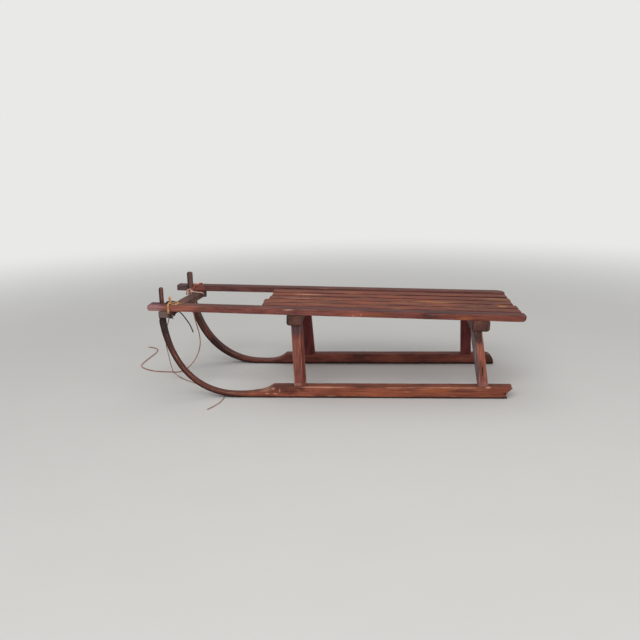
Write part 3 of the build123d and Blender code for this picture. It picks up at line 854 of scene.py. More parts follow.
# the grey bevel colour is a painted reflection of the pale surroundings on the post's front bevel
REAR_POST_WOOD = StainedBeech(
    "stained_beech_rear_post", deep="#6a3d34", red="#96584a", bright="#aa6856", worn="#cb957c", dust_and_shade_tone="#4f3b3a",
    wear=0.5, dust_and_shade=0.3, bevel="#6f686b", marks=REAR_POST_MARKS)
# darker copy of the post wood: the far posts' shade is painted into their colours
FAR_POST_WOOD_SHADED = StainedBeech(
    "stained_beech_far_post", deep="#5a2b2c", red="#7c393b", bright="#904844", worn="#84564c", dust_and_shade_tone="#3c2a2b",
    wear=0.2, dust_and_shade=0.3, bevel="#5c4b48")
BEAM_MARKS = (
    # the dark rims round the beams' near ends, all marks but the second, are painted shade on their rounded edges
    Mark((374, -168, 214), (7, 12, 20), "#2e231c", 0.85, 0.6, True),
    Mark((398, -168, 217), (9, 6, 8), "#7e5044", 0.5, 0.6),
    Mark((394, -168, 201), (30, 12, 4.5), "#30221c", 0.75, 0.6, True),
    Mark((394, -168, 230), (30, 8, 4), "#2c1c18", 0.7, 0.6),
    Mark((884, -168, 185), (30, 12, 4.5), "#30221c", 0.7, 0.6, True))
# beech of the crossbeams, browner and half in shade
BEAM_WOOD = StainedBeech(
    "stained_beech_beam", deep="#4a302b", red="#664239", bright="#7a4e41", worn="#a17a66", dust_and_shade_tone="#44332f", wear=0.45,
    dust_and_shade=0.3, marks=BEAM_MARKS)
BAR_MARKS = (Mark((45, -168, 232), (34, 9, 16), "#7d6a65", 0.8),)
# beech of the bar, weathered to a greyish brown and matt
BAR_WOOD = StainedBeech(
    "weathered_beech_bar", deep="#4f342f", red="#6c4c44", bright="#80594f", worn="#9a7a6e", dust_and_shade_tone="#4a3834",
    wear=0.35, dust_and_shade=0.3, roughness=0.75, marks=BAR_MARKS)
# mild steel, nearly black with rust and grit, darkened further to paint the contact shadow along the runners
BAND_STEEL = RustedSteel("rusted_steel_band", dark="#0b0807", rust="#211512", bright="#36221a")
NAIL_STEEL = RustedSteel("rusted_nail_steel", dark="#14100f", rust="#2b1c18", bright="#4a3026", rust_mm=3.0)
# sisal, golden, faded red or bleached; the golden one has painted shade where it hangs under the rail
GOLD_TWINE = TwistedTwine("sisal_twine_gold", dark="#b87844", light="#fac88c", shade_below=241.0)
RED_TWINE = TwistedTwine("sisal_twine_red", dark="#b0604a", light="#eea486")
PALE_TWINE = TwistedTwine("sisal_twine_pale", dark="#c88e7c", light="#fbd6c6")
# waxed cord and leather lace, whose lay hardly shows
CORD_TWINE = TwistedTwine("waxed_cord_brown", dark="#85503f", light="#c08a72", lay_mm=4.0)
DARK_LACE = TwistedTwine("leather_lace_dark", dark="#251a18", light="#4a3530")


# ---------------------------------------------------------------- sticks
# shares of wear that a point can have, and the code of a planed bevel
WORN_EDGE = 1.0
WORN_RIM = 0.55
WORN_SIDE = 0.35
FLAT_BEVEL = 2.0
# height for points that no line of dirt reaches, mm
HIGH_UP = 99.0
# most of a side that one corner may take up
MOST_CORNER = 0.45


@dataclass(frozen=True)
class Cut:
    """One cut across a stick: its place, its two directions, its extents and corners in mm."""

    origin: Vector
    across: Vector
    up: Vector
    wide: Pair
    high: Pair
    corners: tuple[float, ...]
    along: float
    bevel: int = -1
    arc: int = 3

    def corner(self, number: int) -> float:
        """Size of a corner, held under half of the shorter side."""
        (a0, a1), (b0, b1) = self.wide, self.high
        return min(self.corners[number], MOST_CORNER * abs(a1 - a0), MOST_CORNER * abs(b1 - b0))

    def ring(self, sides: tuple[int, int]) -> list[Triple]:
        """Points round the cut.

        Args:
            sides: Points laid along the wide and the high sides.

        Returns:
            Points across and up in mm, with their share of edge wear, or FLAT_BEVEL on a flat bevel.
        """
        (a0, a1), (b0, b1) = self.wide, self.high
        square = ((a0, b0), (a1, b0), (a1, b1), (a0, b1))
        points: list[Triple] = []
        for i, here in enumerate(square):
            after = square[(i + 1) % 4]
            start, stop = (step_to(here, goal, self.corner(i)) for goal in (square[i - 1], after))
            for k in range(self.arc + 1):
                t = k / self.arc
                if i == self.bevel:
                    points.append((*blend(start, stop, t), FLAT_BEVEL))
                    continue
                a, b = ((1 - t) ** 2 * v0 + 2 * t * (1 - t) * v + t * t * v1 for v0, v, v1 in zip(start, here, stop))
                points.append((a, b, WORN_EDGE if 0 < k < self.arc else WORN_RIM))
            goal = step_to(after, here, self.corner((i + 1) % 4))
            count = sides[i % 2]
            for k in range(1, count + 1):
                t = k / (count + 1)
                points.append((*blend(stop, goal, t), max(0.0, 1 - 4 * min(t, 1 - t)) * WORN_SIDE))
        return points

    def place(self, a: float, b: float) -> Vector:
        """Point of the cut in metres."""
        return self.origin + (self.across * a + self.up * b) * MM


def blend(one: Pair, two: Pair, share: float) -> Pair:
    """Point between two points, at a share of the way."""
    return one[0] + (two[0] - one[0]) * share, one[1] + (two[1] - one[1]) * share


def step_to(start: Pair, goal: Pair, size: float) -> Pair:
    """Point that lies a given size from start towards goal."""
    return blend(start, goal, size / (math.hypot(goal[0] - start[0], goal[1] - start[1]) or 1.0))


@dataclass
class StickMesh:
    """Skin over a row of cuts, uneven as old wood is, with its grain and wear kept per point.

    Cells of the unevenness are in mm along and across the stick.
    """

    name: str
    seed: float
    uneven: float = 0.28
    nicks: float = 0.7
    sides: tuple[int, int] = (3, 2)
    sway_mm: Pair = (60.0, 25.0)
    fine_mm: Pair = (9.0, 6.0)
    fine_share: float = 0.35
    nick_mm: Pair = (16.0, 9.0)
    nick_from: float = 0.12
    nick_gain: float = 2.0
    fibre_mm: Pair = (2.2, 1.6)
    saw_marks: float = 0.12
    cap_rings: Triple = (0.12, 0.4, 0.7)
    cap_rise: Triple = (0.5, 6.0, 0.4)
    break_rings: Triple = (0.35, 0.7, 1.0)
    torn_mm: Pair = (3.0, 1.4)
    torn: float = 1.8
    torn_start: float = 0.3
    hollow: Triple = (3.5, 12.0, 9.0)
    crease: float = 38.0
    points: list[Vector] = field(default_factory=list)
    faces: list[tuple[int, ...]] = field(default_factory=list)
    grain: list[Vector] = field(default_factory=list)
    wear: list[float] = field(default_factory=list)
    bevel: list[float] = field(default_factory=list)
    raw: list[float] = field(default_factory=list)
    low: list[float] = field(default_factory=list)
    reach: Callable[[float, float], float] | None = None

    def add_point(self, point: Vector, grain: Vector, wear: float, low: float) -> int:
        """Keep one point.

        Args:
            point: Its place in metres.
            grain: Its place in the pattern.
            wear: Share of edge wear, or FLAT_BEVEL.
            low: Height above the stick's lower face, mm.

        Returns:
            Its number.
        """
        flat = wear == FLAT_BEVEL
        self.points.append(point)
        self.grain.append(grain)
        self.wear.append(0.5 if flat else wear)
        self.bevel.append(float(flat))
        self.raw.append(0.0)
        self.low.append(low)
        return len(self.points) - 1

    def add_ring(self, cut: Cut, shrink: float = 0.0, push: Vector | None = None,
                 rough: float = 0.0) -> list[int]:
        """Lay one ring of points.

        Args:
            cut: The cut across the stick.
            shrink: How far its points are drawn to the middle, mm.
            push: Move along the stick in metres, for ends.
            rough: Depth of splinters along the stick, mm.

        Returns:
            Numbers of the ring's points.
        """
        mid_a, mid_b = sum(cut.wide) / 2, sum(cut.high) / 2
        normal = cut.across.cross(cut.up)
        sway, fine, nick, fibre = self.sway_mm, self.fine_mm, self.nick_mm, self.fibre_mm
        ring = []
        for a, b, edge in cut.ring(self.sides):
            off_a, off_b = a - mid_a, b - mid_b
            size = math.hypot(off_a, off_b) or 1.0
            slow = noise.noise(Vector((cut.along / sway[0], a / sway[1], b / sway[1] + self.seed)))
            quick = noise.noise(Vector((cut.along / fine[0], a / fine[1], b / fine[1] + self.seed * 2)))
            move = self.uneven * (slow + self.fine_share * quick) - shrink
            if edge == WORN_EDGE:
                chip = noise.noise(Vector((cut.along / nick[0], self.seed * 3 + a / nick[1], b / nick[1])))
                move -= self.nicks * max(0.0, chip - self.nick_from) * self.nick_gain
            a, b = a + off_a / size * move, b + off_b / size * move
            point = cut.place(a, b) + (push or Vector((0, 0, 0)))
            if rough:
                split = noise.noise(Vector((a / fibre[0], b / fibre[1], self.seed)))
                point = point + normal * split * rough * MM
            grain = Vector((cut.along, a, b)) * MM + Vector((self.seed, 0, self.seed))
            ring.append(self.add_point(point, grain, edge, b - cut.high[0]))
        return ring

    def close(self, ring: Sequence[int], cut: Cut, outward: Vector, end: End, first: bool) -> None:
        """Close an end with rings that run to its middle.

        Args:
            ring: The last full ring.
            cut: Cut at the end.
            outward: Direction out of the stick.
            end: How the end looks.
            first: True at the beginning of the stick.
        """
        half = min(cut.wide[1] - cut.wide[0], cut.high[1] - cut.high[0]) / 2
        last = list(ring)
        if end is End.BROKEN:
            for share in self.break_rings:
                outer = self.add_ring(cut)
                self.splinter(outer, cut, share, outward, 0.0)
                self.faces += wall(outer, last) if first else wall(last, outer)
                last = outer
        rise, steep, centre_rise = self.cap_rise
        for share in self.cap_rings:
            push = outward * rise * MM * min(1.0, share * steep)
            inner = self.add_ring(cut, half * share, push, self.saw_marks)
            if end is End.BROKEN:
                self.splinter(inner, cut, 1.0, outward, share)
            for number in inner:
                self.wear[number] = 0.5 if share == self.cap_rings[0] else 0.0
            self.faces += wall(inner, last) if first else wall(last, inner)
            last = inner
        middle = cut.place(sum(cut.wide) / 2, sum(cut.high) / 2) + outward * centre_rise * MM
        centre = self.add_point(middle, Vector((cut.along * MM + self.seed, 0, self.seed)), 0.0, HIGH_UP)
        if end is End.BROKEN:
            self.splinter([centre], cut, 1.0, outward, 1.0)
        for one, two in zip(last, (*last[1:], last[0])):
            self.faces.append((two, one, centre) if first else (one, two, centre))

    def splinter(self, ring: Sequence[int], cut: Cut, share: float, outward: Vector, hollow: float) -> None:
        """Push a ring out to the slanting face of a break.

        Args:
            ring: Numbers of its points.
            cut: Last whole cut of the stick.
            share: How much of the way the ring goes.
            outward: Direction out of the stick.
            hollow: How deep the ring lies in the torn face, from 0 at its rim to 1 in its middle.
        """
        if self.reach is None:
            return
        deepest, level, half = self.hollow
        whole = share == 1.0
        for number in ring:
            off = self.points[number] - cut.origin
            a, b = off.dot(cut.across) / MM, off.dot(cut.up) / MM
            torn = noise.noise(Vector((a / self.torn_mm[0], b / self.torn_mm[1], self.seed))) * self.torn
            deep = deepest * hollow * max(0.0, 1 - abs(b - level) / half)
            away = (self.reach(a, b) + (torn if whole else self.torn_start * torn) - deep) * share
            self.points[number] = self.points[number] + outward * away * MM
            self.grain[number] = self.grain[number] + Vector((away * MM, 0, 0))
            self.raw[number] = float(whole)

    def skin(self, cuts: Sequence[Cut], finish: Finish, ends: tuple[End, End] = (End.SAWN, End.SAWN)
             ) -> bpy.types.Object:
        """Lay the skin over all the cuts, close both ends and make the object.

        Args:
            cuts: Cuts from one end of the stick to the other.
            finish: What it is made of.
            ends: Look of the first and the last end.

        Returns:
            Object at the frame's origin with its place in its mesh.
        """
        rings = [self.add_ring(cut) for cut in cuts]
        for one, two in zip(rings, rings[1:]):
            self.faces += wall(one, two)
        start = (cuts[0].origin - cuts[1].origin).normalized()
        stop = (cuts[-1].origin - cuts[-2].origin).normalized()
        self.close(rings[0], cuts[0], start, ends[0], True)
        self.close(rings[-1], cuts[-1], stop, ends[1], False)
        kept = {"grain": self.grain, "wear": self.wear, "bevel": self.bevel, "raw": self.raw, "low": self.low}
        made = put_mesh(self.name, self.points, self.faces, kept, self.crease)
        made.data.materials.append(finish_of(finish))
        return made


# ---------------------------------------------------------------- shapes that several pieces follow
@dataclass(frozen=True)
class Bend:
    """Bent front of one runner, drawn along the outside of its steel band.

    Its wood has a thickness at the floor, halfway and at the top. The swell is where it
    stands out further to the front: the heights where it starts, is full, lessens and ends.
    """

    start: float
    tip: float
    full: float
    lean: float
    wood: Triple
    width: float
    height: float = 262.0
    swell: float = 0.0
    swollen: Range = (95.0, 215.0, 226.0, 246.0)

    def rise(self, t: float) -> float:
        """Height in mm for t from 0 on the floor to 1 where the bend is plumb."""
        return self.height * (1 - max(0.0, math.cos(t * math.pi / 2)) ** (2 / self.full))

    def out(self, z: float) -> float:
        """How far the wood swells forward below the bar at a height, mm."""
        low, full, less, gone = self.swollen
        return self.swell * ease((z - low) / (full - low)) * (1 - ease((z - less) / (gone - less)))

    def at(self, t: float) -> Pair:
        """Point x, z in mm for t from 0 on the floor to 1 where the bend is plumb."""
        z, forward = self.rise(t), max(0.0, math.sin(t * math.pi / 2)) ** (2 / self.full)
        return self.start - (self.start - self.tip) * forward + self.lean * (z / self.height) ** 2 - self.out(z), z

    def thick(self, t: float) -> float:
        """Thickness of the wood along the bend, mm."""
        low, middle, top = self.wood
        even = low + (4 * middle - 3 * low - top) * t + 2 * (low - 2 * middle + top) * t * t
        return even + self.out(self.rise(t))

    def span(self, level: float) -> Pair:
        """Front and back of the wood at a height.

        Args:
            level: Height above the floor, mm.

        Returns:
            Both places from the front tip, mm.
        """
        low, high = 0.5, 1.0
        for _ in range(30):
            t = (low + high) / 2
            low, high = (t, high) if self.at(t)[1] < level else (low, t)
        front = self.at(low)[0] + BAND_THICK
        return front, front + self.thick(low)


BENDS = {
    Side.LEFT: Bend(259.4, 30.7, 2.36, -3.6, (11.4, 9.6, 9.2), 20.0, swell=4.4),
    Side.RIGHT: Bend(239.0, 28.5, 2.08, 3.0, (10.5, 16.4, 15.5), 27.0),
}


@dataclass(frozen=True)
class SlippedBar:
    """Place of the bar under the rails, which has slipped back on the right."""

    at: float = 31.5
    width: float = 28.5
    thick: float = 17.5
    left: float = -168.0
    right: float = 156.0
    slip: float = 27.0

    def front(self, y: float) -> float:
        """Front edge at y, mm from the front tip."""
        return self.at + self.slip * (y - self.left) / (self.right - self.left)

    def lie(self) -> Lie:
        """Frame of the bar, z = 0 on its top face."""
        return under_lie(self.front(0.0) + self.width / 2)


BAR = SlippedBar()


# ---------------------------------------------------------------- camera and light
@dataclass
class StudioView:
    """Camera where the picture was taken from, soft light and a pale floor.

    Places and sizes are in metres here, and a lamp has a name, a place, a side and watts.
    """

    where: Triple = (0.0863, -1.9008, 0.6367)
    right: Triple = (0.9976, 0.0662, -0.0192)
    up: Triple = (0.0030, 0.2358, 0.9718)
    lens: float = 38.2
    sensor: float = 36.0
    floor_size: float = 80.0
    ambient: float = 0.36
    aim: Triple = (0.0, 0.0, 0.1)
    lamps: tuple[tuple[str, Triple, float, float], ...] = (
        ("key", (-0.6, -2.6, 2.4), 2.2, 44.0), ("fill", (1.8, -1.6, 1.8), 1.8, 14.0),
        ("top", (0.0, 0.6, 2.8), 2.4, 13.0))

    def camera(self) -> None:
        """Set the camera up."""
        data = bpy.data.cameras.new("view")
        data.lens, data.sensor_width = self.lens, self.sensor
        right = Vector(self.right).normalized()
        up = (Vector(self.up) - right * right.dot(Vector(self.up))).normalized()
        turn = Matrix((right, up, right.cross(up))).transposed()
        seen = put("view", data)
        seen.matrix_world = Matrix.Translation(self.where) @ turn.to_4x4()
        bpy.context.scene.camera = seen

    def world(self) -> None:
        """Plain pale surroundings, the same for the eye and for reflections."""
        world = bpy.data.worlds.new("studio")
        bpy.context.scene.world = world
        world.use_nodes = True
        tree = world.node_tree
        tree.nodes.clear()
        light = add_node(tree, "Background", values={"Color": linear("#ffffff"), "Strength": self.ambient})
        shown = add_node(tree, "Background", values={"Color": linear(BACKDROP), "Strength": 1.0})
        mix = add_node(tree, "MixShader", links={0: (seen_by_eye(tree), 0), 1: (light, 0), 2: (shown, 0)})
        output = tree.nodes.new("ShaderNodeOutputWorld")
        tree.links.new(mix.outputs[0], output.inputs[0])

    def floor(self) -> None:
        """Lay the floor under the sled."""
        half = self.floor_size / 2
        mesh = bpy.data.meshes.new("studio_floor")
        mesh.from_pydata([(-half, -half, 0), (half, -half, 0), (half, half, 0), (-half, half, 0)], [], [(0, 1, 2, 3)])
        mesh.materials.append(finish_of(PaleFloor()))
        floor = put(mesh.name, mesh)

    def light(self) -> None:
        """Hang the lamps, each a soft square that looks at the sled, and set how colours are shown."""
        for name, where, size, power in self.lamps:
            data = bpy.data.lights.new(name, "AREA")
            data.shape, data.size, data.energy = "SQUARE", size, power
            lamp = put(name, data)
            lamp.location = where
            lamp.rotation_euler = (Vector(self.aim) - Vector(where)).to_track_quat("-Z", "Y").to_euler()
        bpy.context.scene.view_settings.view_transform = "Standard"


# ---------------------------------------------------------------- cords
@dataclass
class PullCords:
    """The two ends of the thin pull cord and the stiff lace, from the bar to the floor."""

    long_thick: float = 3.2
    long_length: float = 679.0
    short_thick: float = 2.4
    short_length: float = 632.0
    lace_thick: float = 3.2
    lace_length: float = 82.0
    steps_along: int = 8
    steps_round: int = 3

    def long_route(self) -> list[Triple]:
        """Cord that hangs in a loop, lies out past the front and curls back on the floor.

        Returns:
            Points of the route, mm.
        """
        x = BAR.front(120.0)
        return [(x + 6.0, 120.0, underside(60, 120) - 11.0), (x + 4.4, 120.0, underside(60, 120) - 34.0),
                (50.0, 116.0, 178.0), (58.5, 108.0, 144.0), (71.0, 101.0, 104.0), (71.0, 97.0, 68.0),
                (57.6, 93.0, 33.0), (36.0, 86.0, 6.5), (19.6, 47.0, 1.7), (-20.4, 50.0, 1.7),
                (-64.5, 55.0, 1.7), (-103.0, 79.0, 1.7), (-127.0, 108.0, 1.7), (-130.0, 142.0, 1.7),
                (-127.0, 195.0, 1.7), (-122.0, 250.0, 1.7), (-126.0, 292.0, 1.7), (-142.0, 318.0, 1.7),
                (-170.0, 326.5, 1.7)]

    def short_route(self) -> list[Triple]:
        """Cord that hangs down inside the left bend and lies out under it.

        Returns:
            Points of the route, mm.
        """
        x = BAR.front(-124.0)
        return [(x + 12.8, -124.0, underside(48, -124) - 11.0), (x + 11.0, -124.5, underside(48, -124) - 33.0),
                (33.0, -120.0, 180.0), (27.0, -110.0, 135.0), (26.0, -90.0, 100.0), (20.0, -55.0, 58.0),
                (12.0, -10.0, 20.0), (16.0, 14.0, 3.5), (39.0, -11.6, 1.4), (77.0, -46.0, 1.4),
                (114.0, -76.0, 1.4), (152.0, -104.0, 1.4), (182.0, -131.0, 1.4), (196.0, -160.0, 1.4),
                (198.0, -193.0, 1.4), (189.0, -231.0, 1.4), (172.0, -263.0, 1.4)]

    def lace_route(self) -> list[Triple]:
        """Stiff loose end behind the bar.

        Returns:
            Points of the route, mm.
        """
        x = BAR.front(-97.0) + BAR.width
        return [(x - 6.7, -96.5, underside(60, -97) - 7.5), (x + 7.0, -97.6, underside(74, -97) - 18.0),
                (87.0, -98.6, 202.0), (98.0, -98.0, 184.0), (103.5, -97.5, 165.0)]

    def lay(self, name: str, route: list[Triple], thick: float, length: float, way: str,
            finish: TwistedTwine, slot: str) -> None:
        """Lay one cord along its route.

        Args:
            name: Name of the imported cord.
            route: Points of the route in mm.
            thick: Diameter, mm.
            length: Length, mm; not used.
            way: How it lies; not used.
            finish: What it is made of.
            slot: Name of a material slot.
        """
        data = smooth_line(name + "_twine", (spot(x, y, z) for x, y, z in route), self.steps_along)
        data.bevel_depth = thick / 2 * MM
        data.bevel_resolution = self.steps_round
        data.use_fill_caps = True
        data.materials.append(finish_of(finish))
        made = put(name + "_twine", data)
        report(made, slot, [name])

    def build(self) -> None:
        """Lay the three cords."""
        self.lay("pull_cord_long", self.long_route(), self.long_thick, self.long_length, "loose",
                 CORD_TWINE, "pull_cord")
        self.lay("pull_cord_short", self.short_route(), self.short_thick, self.short_length, "loose",
                 CORD_TWINE, "pull_cord")
        self.lay("lace_end", self.lace_route(), self.lace_thick, self.lace_length, "hanging",
                 DARK_LACE, "lace")


# ---------------------------------------------------------------- seat
@dataclass
class Seat:
    """Two outer rails and the slats between them.

    Corners in plan are front outer, front inner, rear outer and rear inner. Noses are the
    rounded ends of each rail in side view, front and rear, and tails_low its lower rear corner.
    """

    spread: float = 332.4
    rail_width: float = 34.5
    slat_width: float = 37.4
    slat_round: float = 3.0
    slat_shift: tuple[float, ...] = (-0.21, -0.58, -0.94, -1.11, -1.12)
    slat_front: tuple[float, ...] = (303.0, 300.5, 309.5, 312.0, 308.0)
    slat_short: tuple[float, ...] = (5.3, 4.0, 9.0, 5.7, 6.0)
    notch_to: float = 145.3
    notch_side: float = 0.05
    plan_rounds: tuple[Range, Range] = ((3.0, 3.0, 11.0, 4.0), (7.0, 2.0, 27.0, 4.0))
    noses: tuple[Pair, Pair] = ((8.0, 4.5), (1.5, 3.0))
    tails_low: Pair = (11.5, 3.0)
    turns: tuple[int, ...] = (0, 20, 35, 50, 65, 80, 90)
    step: float = 5.0
    rail_edges: float = 1.9
    slat_edges: Range = (1.4, 1.4, 2.1, 2.1)
    rail_seed: float = 3.1
    slat_seed: Pair = (11.7, 2.3)

    def corner_in(self, x: float, size: float, back: float) -> float:
        """How far a rounded corner lies inside the side at x.

        Args:
            x: Place along the stick, mm.
            size: Radius of the corner, mm.
            back: Length of the stick, mm.

        Returns:
            The distance, mm.
        """
        reach = min(x, back - x)
        return 0.0 if reach >= size else size - math.sqrt(max(0.0, size ** 2 - (size - reach) ** 2))

    def places(self, start: float, stop: float, sizes: Pair, extra: Iterable[float] = ()) -> list[float]:
        """Places of the cuts, closer together at rounded ends.

        Args:
            start: First place, mm.
            stop: Last place, mm.
            sizes: Largest corner at each end.
            extra: More places that need a cut.

        Returns:
            Sorted places.
        """
        first, last = sizes
        turns = [1 - math.cos(math.radians(degrees)) for degrees in self.turns]
        middle = steps(start + first + self.step, stop - last - self.step, self.step)
        return sorted({*(start + first * t for t in turns), *(stop - last * t for t in turns), *middle, *extra})

    def rail(self, side: Side) -> None:
        """Build one outer rail.

        Args:
            side: Which one.
        """
        sign, number = side.value, side.index
        outer, inner = self.spread / 2, self.spread / 2 - self.rail_width
        front_out, front_in, rear_out, rear_in = self.plan_rounds[number]
        nose, tail = self.noses[number]
        tail_low = self.tails_low[number]
        lie = board_lie(sign * RAIL_MID)
        low = BENDS[side].span(BENDS[side].height)[0] - FIT
        high = BENDS[side].span(underside(BAR.at, sign * RAIL_MID))[1] + FIT
        marks = (low - self.notch_side, low, high, high + self.notch_side)
        cuts = []
        for x in self.places(0.0, SEAT_LENGTH, (max(front_out, front_in, nose), max(rear_out, rear_in, tail_low)),
                             marks):
            rear = x > SEAT_LENGTH / 2
            out, into, above, below = (self.corner_in(x, size, SEAT_LENGTH) for size in (
                (rear_out, rear_in, tail, tail_low) if rear else (front_out, front_in, nose, nose)))
            wide = side.span(self.notch_to if low <= x <= high else inner + into, outer - out)
            cuts.append(Cut(lie.at(x, 0, 0), lie.across, lie.off, wide, (below, RAIL_THICK - above),
                            (self.rail_edges,) * 4, x))
        stick = StickMesh("rail_%s_board" % side.word, self.rail_seed + sign, uneven=0.3, nicks=0.9)
        made = stick.skin(cuts, RAIL_WOOD if side is Side.LEFT else FAR_RAIL_WOOD_SHADED)
        report(made, "seat_wood", ["rail_" + side.word])

    def slat(self, index: int) -> None:
        """Build one slat.

        Args:
            index: Number from the left, from 0.
        """
        count = len(self.slat_shift)
        inner = self.spread / 2 - self.rail_width
        gap = (2 * inner - count * self.slat_width) / (count + 1)
        y0 = -inner + gap * (1 + self.slat_shift[index]) + index * (self.slat_width + gap)
        lie = board_lie(y0 + self.slat_width / 2)
        start, stop = self.slat_front[index], SEAT_LENGTH - self.slat_short[index]
        cuts = []
        for x in self.places(start, stop, (self.slat_round, self.slat_round)):
            inset = self.corner_in(x - start, self.slat_round, stop - start)
            cuts.append(Cut(lie.at(x, 0, 0), lie.across, lie.off, (y0 + inset, y0 + self.slat_width - inset),
                            (0.0, SLAT_THICK), self.slat_edges, x))
        seed = self.slat_seed[0] + index * self.slat_seed[1]
        made = StickMesh("slat_%d_board" % (index + 1), seed, uneven=0.3, nicks=1.1).skin(cuts, SEAT_WOOD)
        report(made, "seat_wood", ["slat_%d" % (index + 1)])

    def build(self) -> None:
        """Build the rails and the slats."""
        for side in Side:
            self.rail(side)
        for index in range(len(self.slat_shift)):
            self.slat(index)


# ---------------------------------------------------------------- runners
@dataclass
class Runners:
    """Two runners bent up into horns, with the steel bands under them.

    A scoop is the hollow between foot and bend, as points (x, z). The break is the rear
    end of the left runner, as points (x from the end, z).
    """

    spread: float = 344.0
    width: float = 33.5
    end: float = 975.0
    horn_below: float = 33.0
    lean_from: float = 0.6
    scoop_end: float = 333.0
    scoops: tuple[tuple[Pair, ...], tuple[Pair, ...]] = (
        ((333.0, 32.0), (310.0, 20.5), (280.0, 15.2), (259.4, 13.4)),
        ((333.0, 32.0), (320.0, 22.6), (308.0, 16.4), (293.0, 12.7), (276.0, 11.3), (256.0, 11.4), (239.0, 12.5)))
    taper: float = 133.0
    horn_rise: Pair = (41.4, 40.5)
    horn_inner: float = 132.0
    horn_depth: float = 13.0
    horn_tip: float = 2.5
    horn_taper: Pair = (1.3, 2.5)
    band_inset: float = 3.5
    band_short: Pair = (18.0, 2.0)
    band_below_bar: float = 5.0
    band_edges: float = 0.5
    broken: tuple[Pair, ...] = ((-23.0, 2.0), (-25.0, 11.5), (-19.0, 14.5), (-14.5, 21.0), (-5.0, 27.5), (-8.5, 32.0))
    break_room: Pair = (30.0, 0.0)
    skew: Triple = (3.5, 12.0, 10.0)
    round_long: float = 23.5
    round_high: float = 23.0
    round_turns: tuple[int, ...] = (15, 30, 45, 60, 75)
    bend_steps: int = 55
    step: float = 6.0
    scoop_step: float = 3.0
    horn_step: float = 4.0
    slope_step: float = 0.01
    foot_margin: float = 3.0
    horn_from: float = 3.0
    foot_edges: Range = (1.6, 1.6, 2.0, 2.0)
    bend_edges: float = 2.0
    horn_edges: float = 1.8
    runner_seed: Pair = (23.9, 4.0)
    band_seed: float = 31.3

    def across_limits(self, side: Side, x: float, z: float, inset: float) -> Pair:
        """Range of y that the wood takes up at a point.

        Args:
            side: Which runner.
            x: Distance from the front tip.
            z: Height.
            inset: How far the band stays inside the wood's sides.

        Returns:
            Lower and upper y, mm.
        """
        outer = self.spread / 2
        low, high = RUNNER_TOP * self.lean_from, BENDS[side].height - self.horn_below
        inner = outer - BENDS[side].width
        lean = (inner - self.horn_inner) / (high - low) * min(max(z - low, 0.0), high - low)
        share = clamp((x - (self.scoop_end - self.taper)) / self.taper)
        on_foot = z <= RUNNER_TOP + self.foot_margin and share > 0
        into = inner + (outer - self.width - inner) * share if on_foot else inner - lean
        return side.span(into + inset, outer - lean - inset)

    def bend_cuts(self, side: Side, start: float, deep: Callable[[float], float], inset: float,
                  stop_z: float | None, edges: float) -> list[Cut]:
        """Cuts round the bend from the floor up.

        Args:
            side: Which runner.
            start: Distance inwards from the band's outside where the piece begins, mm.
            deep: Thickness of the piece along the bend.
            inset: How far its sides lie inside the wood's.
            stop_z: Height where the piece ends, or None for the whole bend.
            edges: Radius of its long edges.

        Returns:
            Cuts from the floor to the top.
        """
        bend, count = BENDS[side], self.bend_steps
        cuts, along = [], 0.0
        before = bend.at(0.0)
        for i in range(count + 1):
            t = i / count
            x, z = bend.at(t)
            (ax, az), (bx, bz) = bend.at(max(0.0, t - self.slope_step)), bend.at(min(1.0, t + self.slope_step))
            dx, dz = (-1.0, 0.0) if i == 0 else (0.0, 1.0) if i == count else (bx - ax, bz - az)
            size = math.hypot(dx, dz)
            inward = Vector((dz / size, 0.0, -dx / size))
            along += math.hypot(x - before[0], z - before[1])
            before = (x, z)
            if stop_z is not None and z > stop_z:
                break
            cuts.append(Cut(spot(x, 0, z) + inward * start * MM, ACROSS, inward, self.across_limits(side, x, z, inset),
                            (0.0, deep(t)), (edges,) * 4, bend.start - along))
        return cuts

    def foot_top(self, side: Side, x: float) -> float:
        """Height of the wood's upper side along the foot, mm.

        Args:
            side: Which runner.
            x: Distance from the front tip.

        Returns:
            The height; the scoop is the smooth curve through its marks.
        """
        marks = self.scoops[side.index]
        if x >= marks[0][0]:
            return RUNNER_TOP
        around = zip((marks[0], *marks), (*marks[1:], marks[-1]))
        slopes = [(z1 - z0) / (x1 - x0) for (x1, z1), (x0, z0) in around]
        for (x1, z1), (x0, z0), s1, s0 in zip(marks, marks[1:], slopes, slopes[1:]):
            if x >= x0:
                run, t = x1 - x0, (x - x0) / (x1 - x0)
                return ((2 * t ** 3 - 3 * t ** 2 + 1) * z0 + (t ** 3 - 2 * t ** 2 + t) * run * s0
                        + (3 * t ** 2 - 2 * t ** 3) * z1 + (t ** 3 - t ** 2) * run * s1)
        return marks[-1][1]

    def foot_cuts(self, side: Side) -> list[Cut]:
        """Cuts of the foot from its rear end to the bend.

        Args:
            side: Which runner.

        Returns:
            The cuts, which start before the break where there is one.
        """
        last = self.end - self.break_room[side.index]
        marks = steps(last, self.scoop_end, self.step)
        marks += steps(self.scoop_end, BENDS[side].start, self.scoop_step)[1:-1]
        if side is Side.RIGHT:
            marks += [self.end - self.round_long * (1 - math.cos(math.radians(turn))) for turn in self.round_turns]
            marks = sorted(set(marks), reverse=True)
        cuts = []
        for x in marks:
            high = self.foot_top(side, x)
            if side is Side.RIGHT and self.end - x < self.round_long:
                share = 1 - (self.end - x) / self.round_long
                high = RUNNER_TOP - self.round_high + self.round_high * math.sqrt(max(0.0, 1 - share ** 2))
            cuts.append(Cut(spot(x, 0, 0), ACROSS, UPRIGHT, self.across_limits(side, x, 0.0, 0.0),
                            (BAND_THICK, high), self.foot_edges, x))
        return cuts

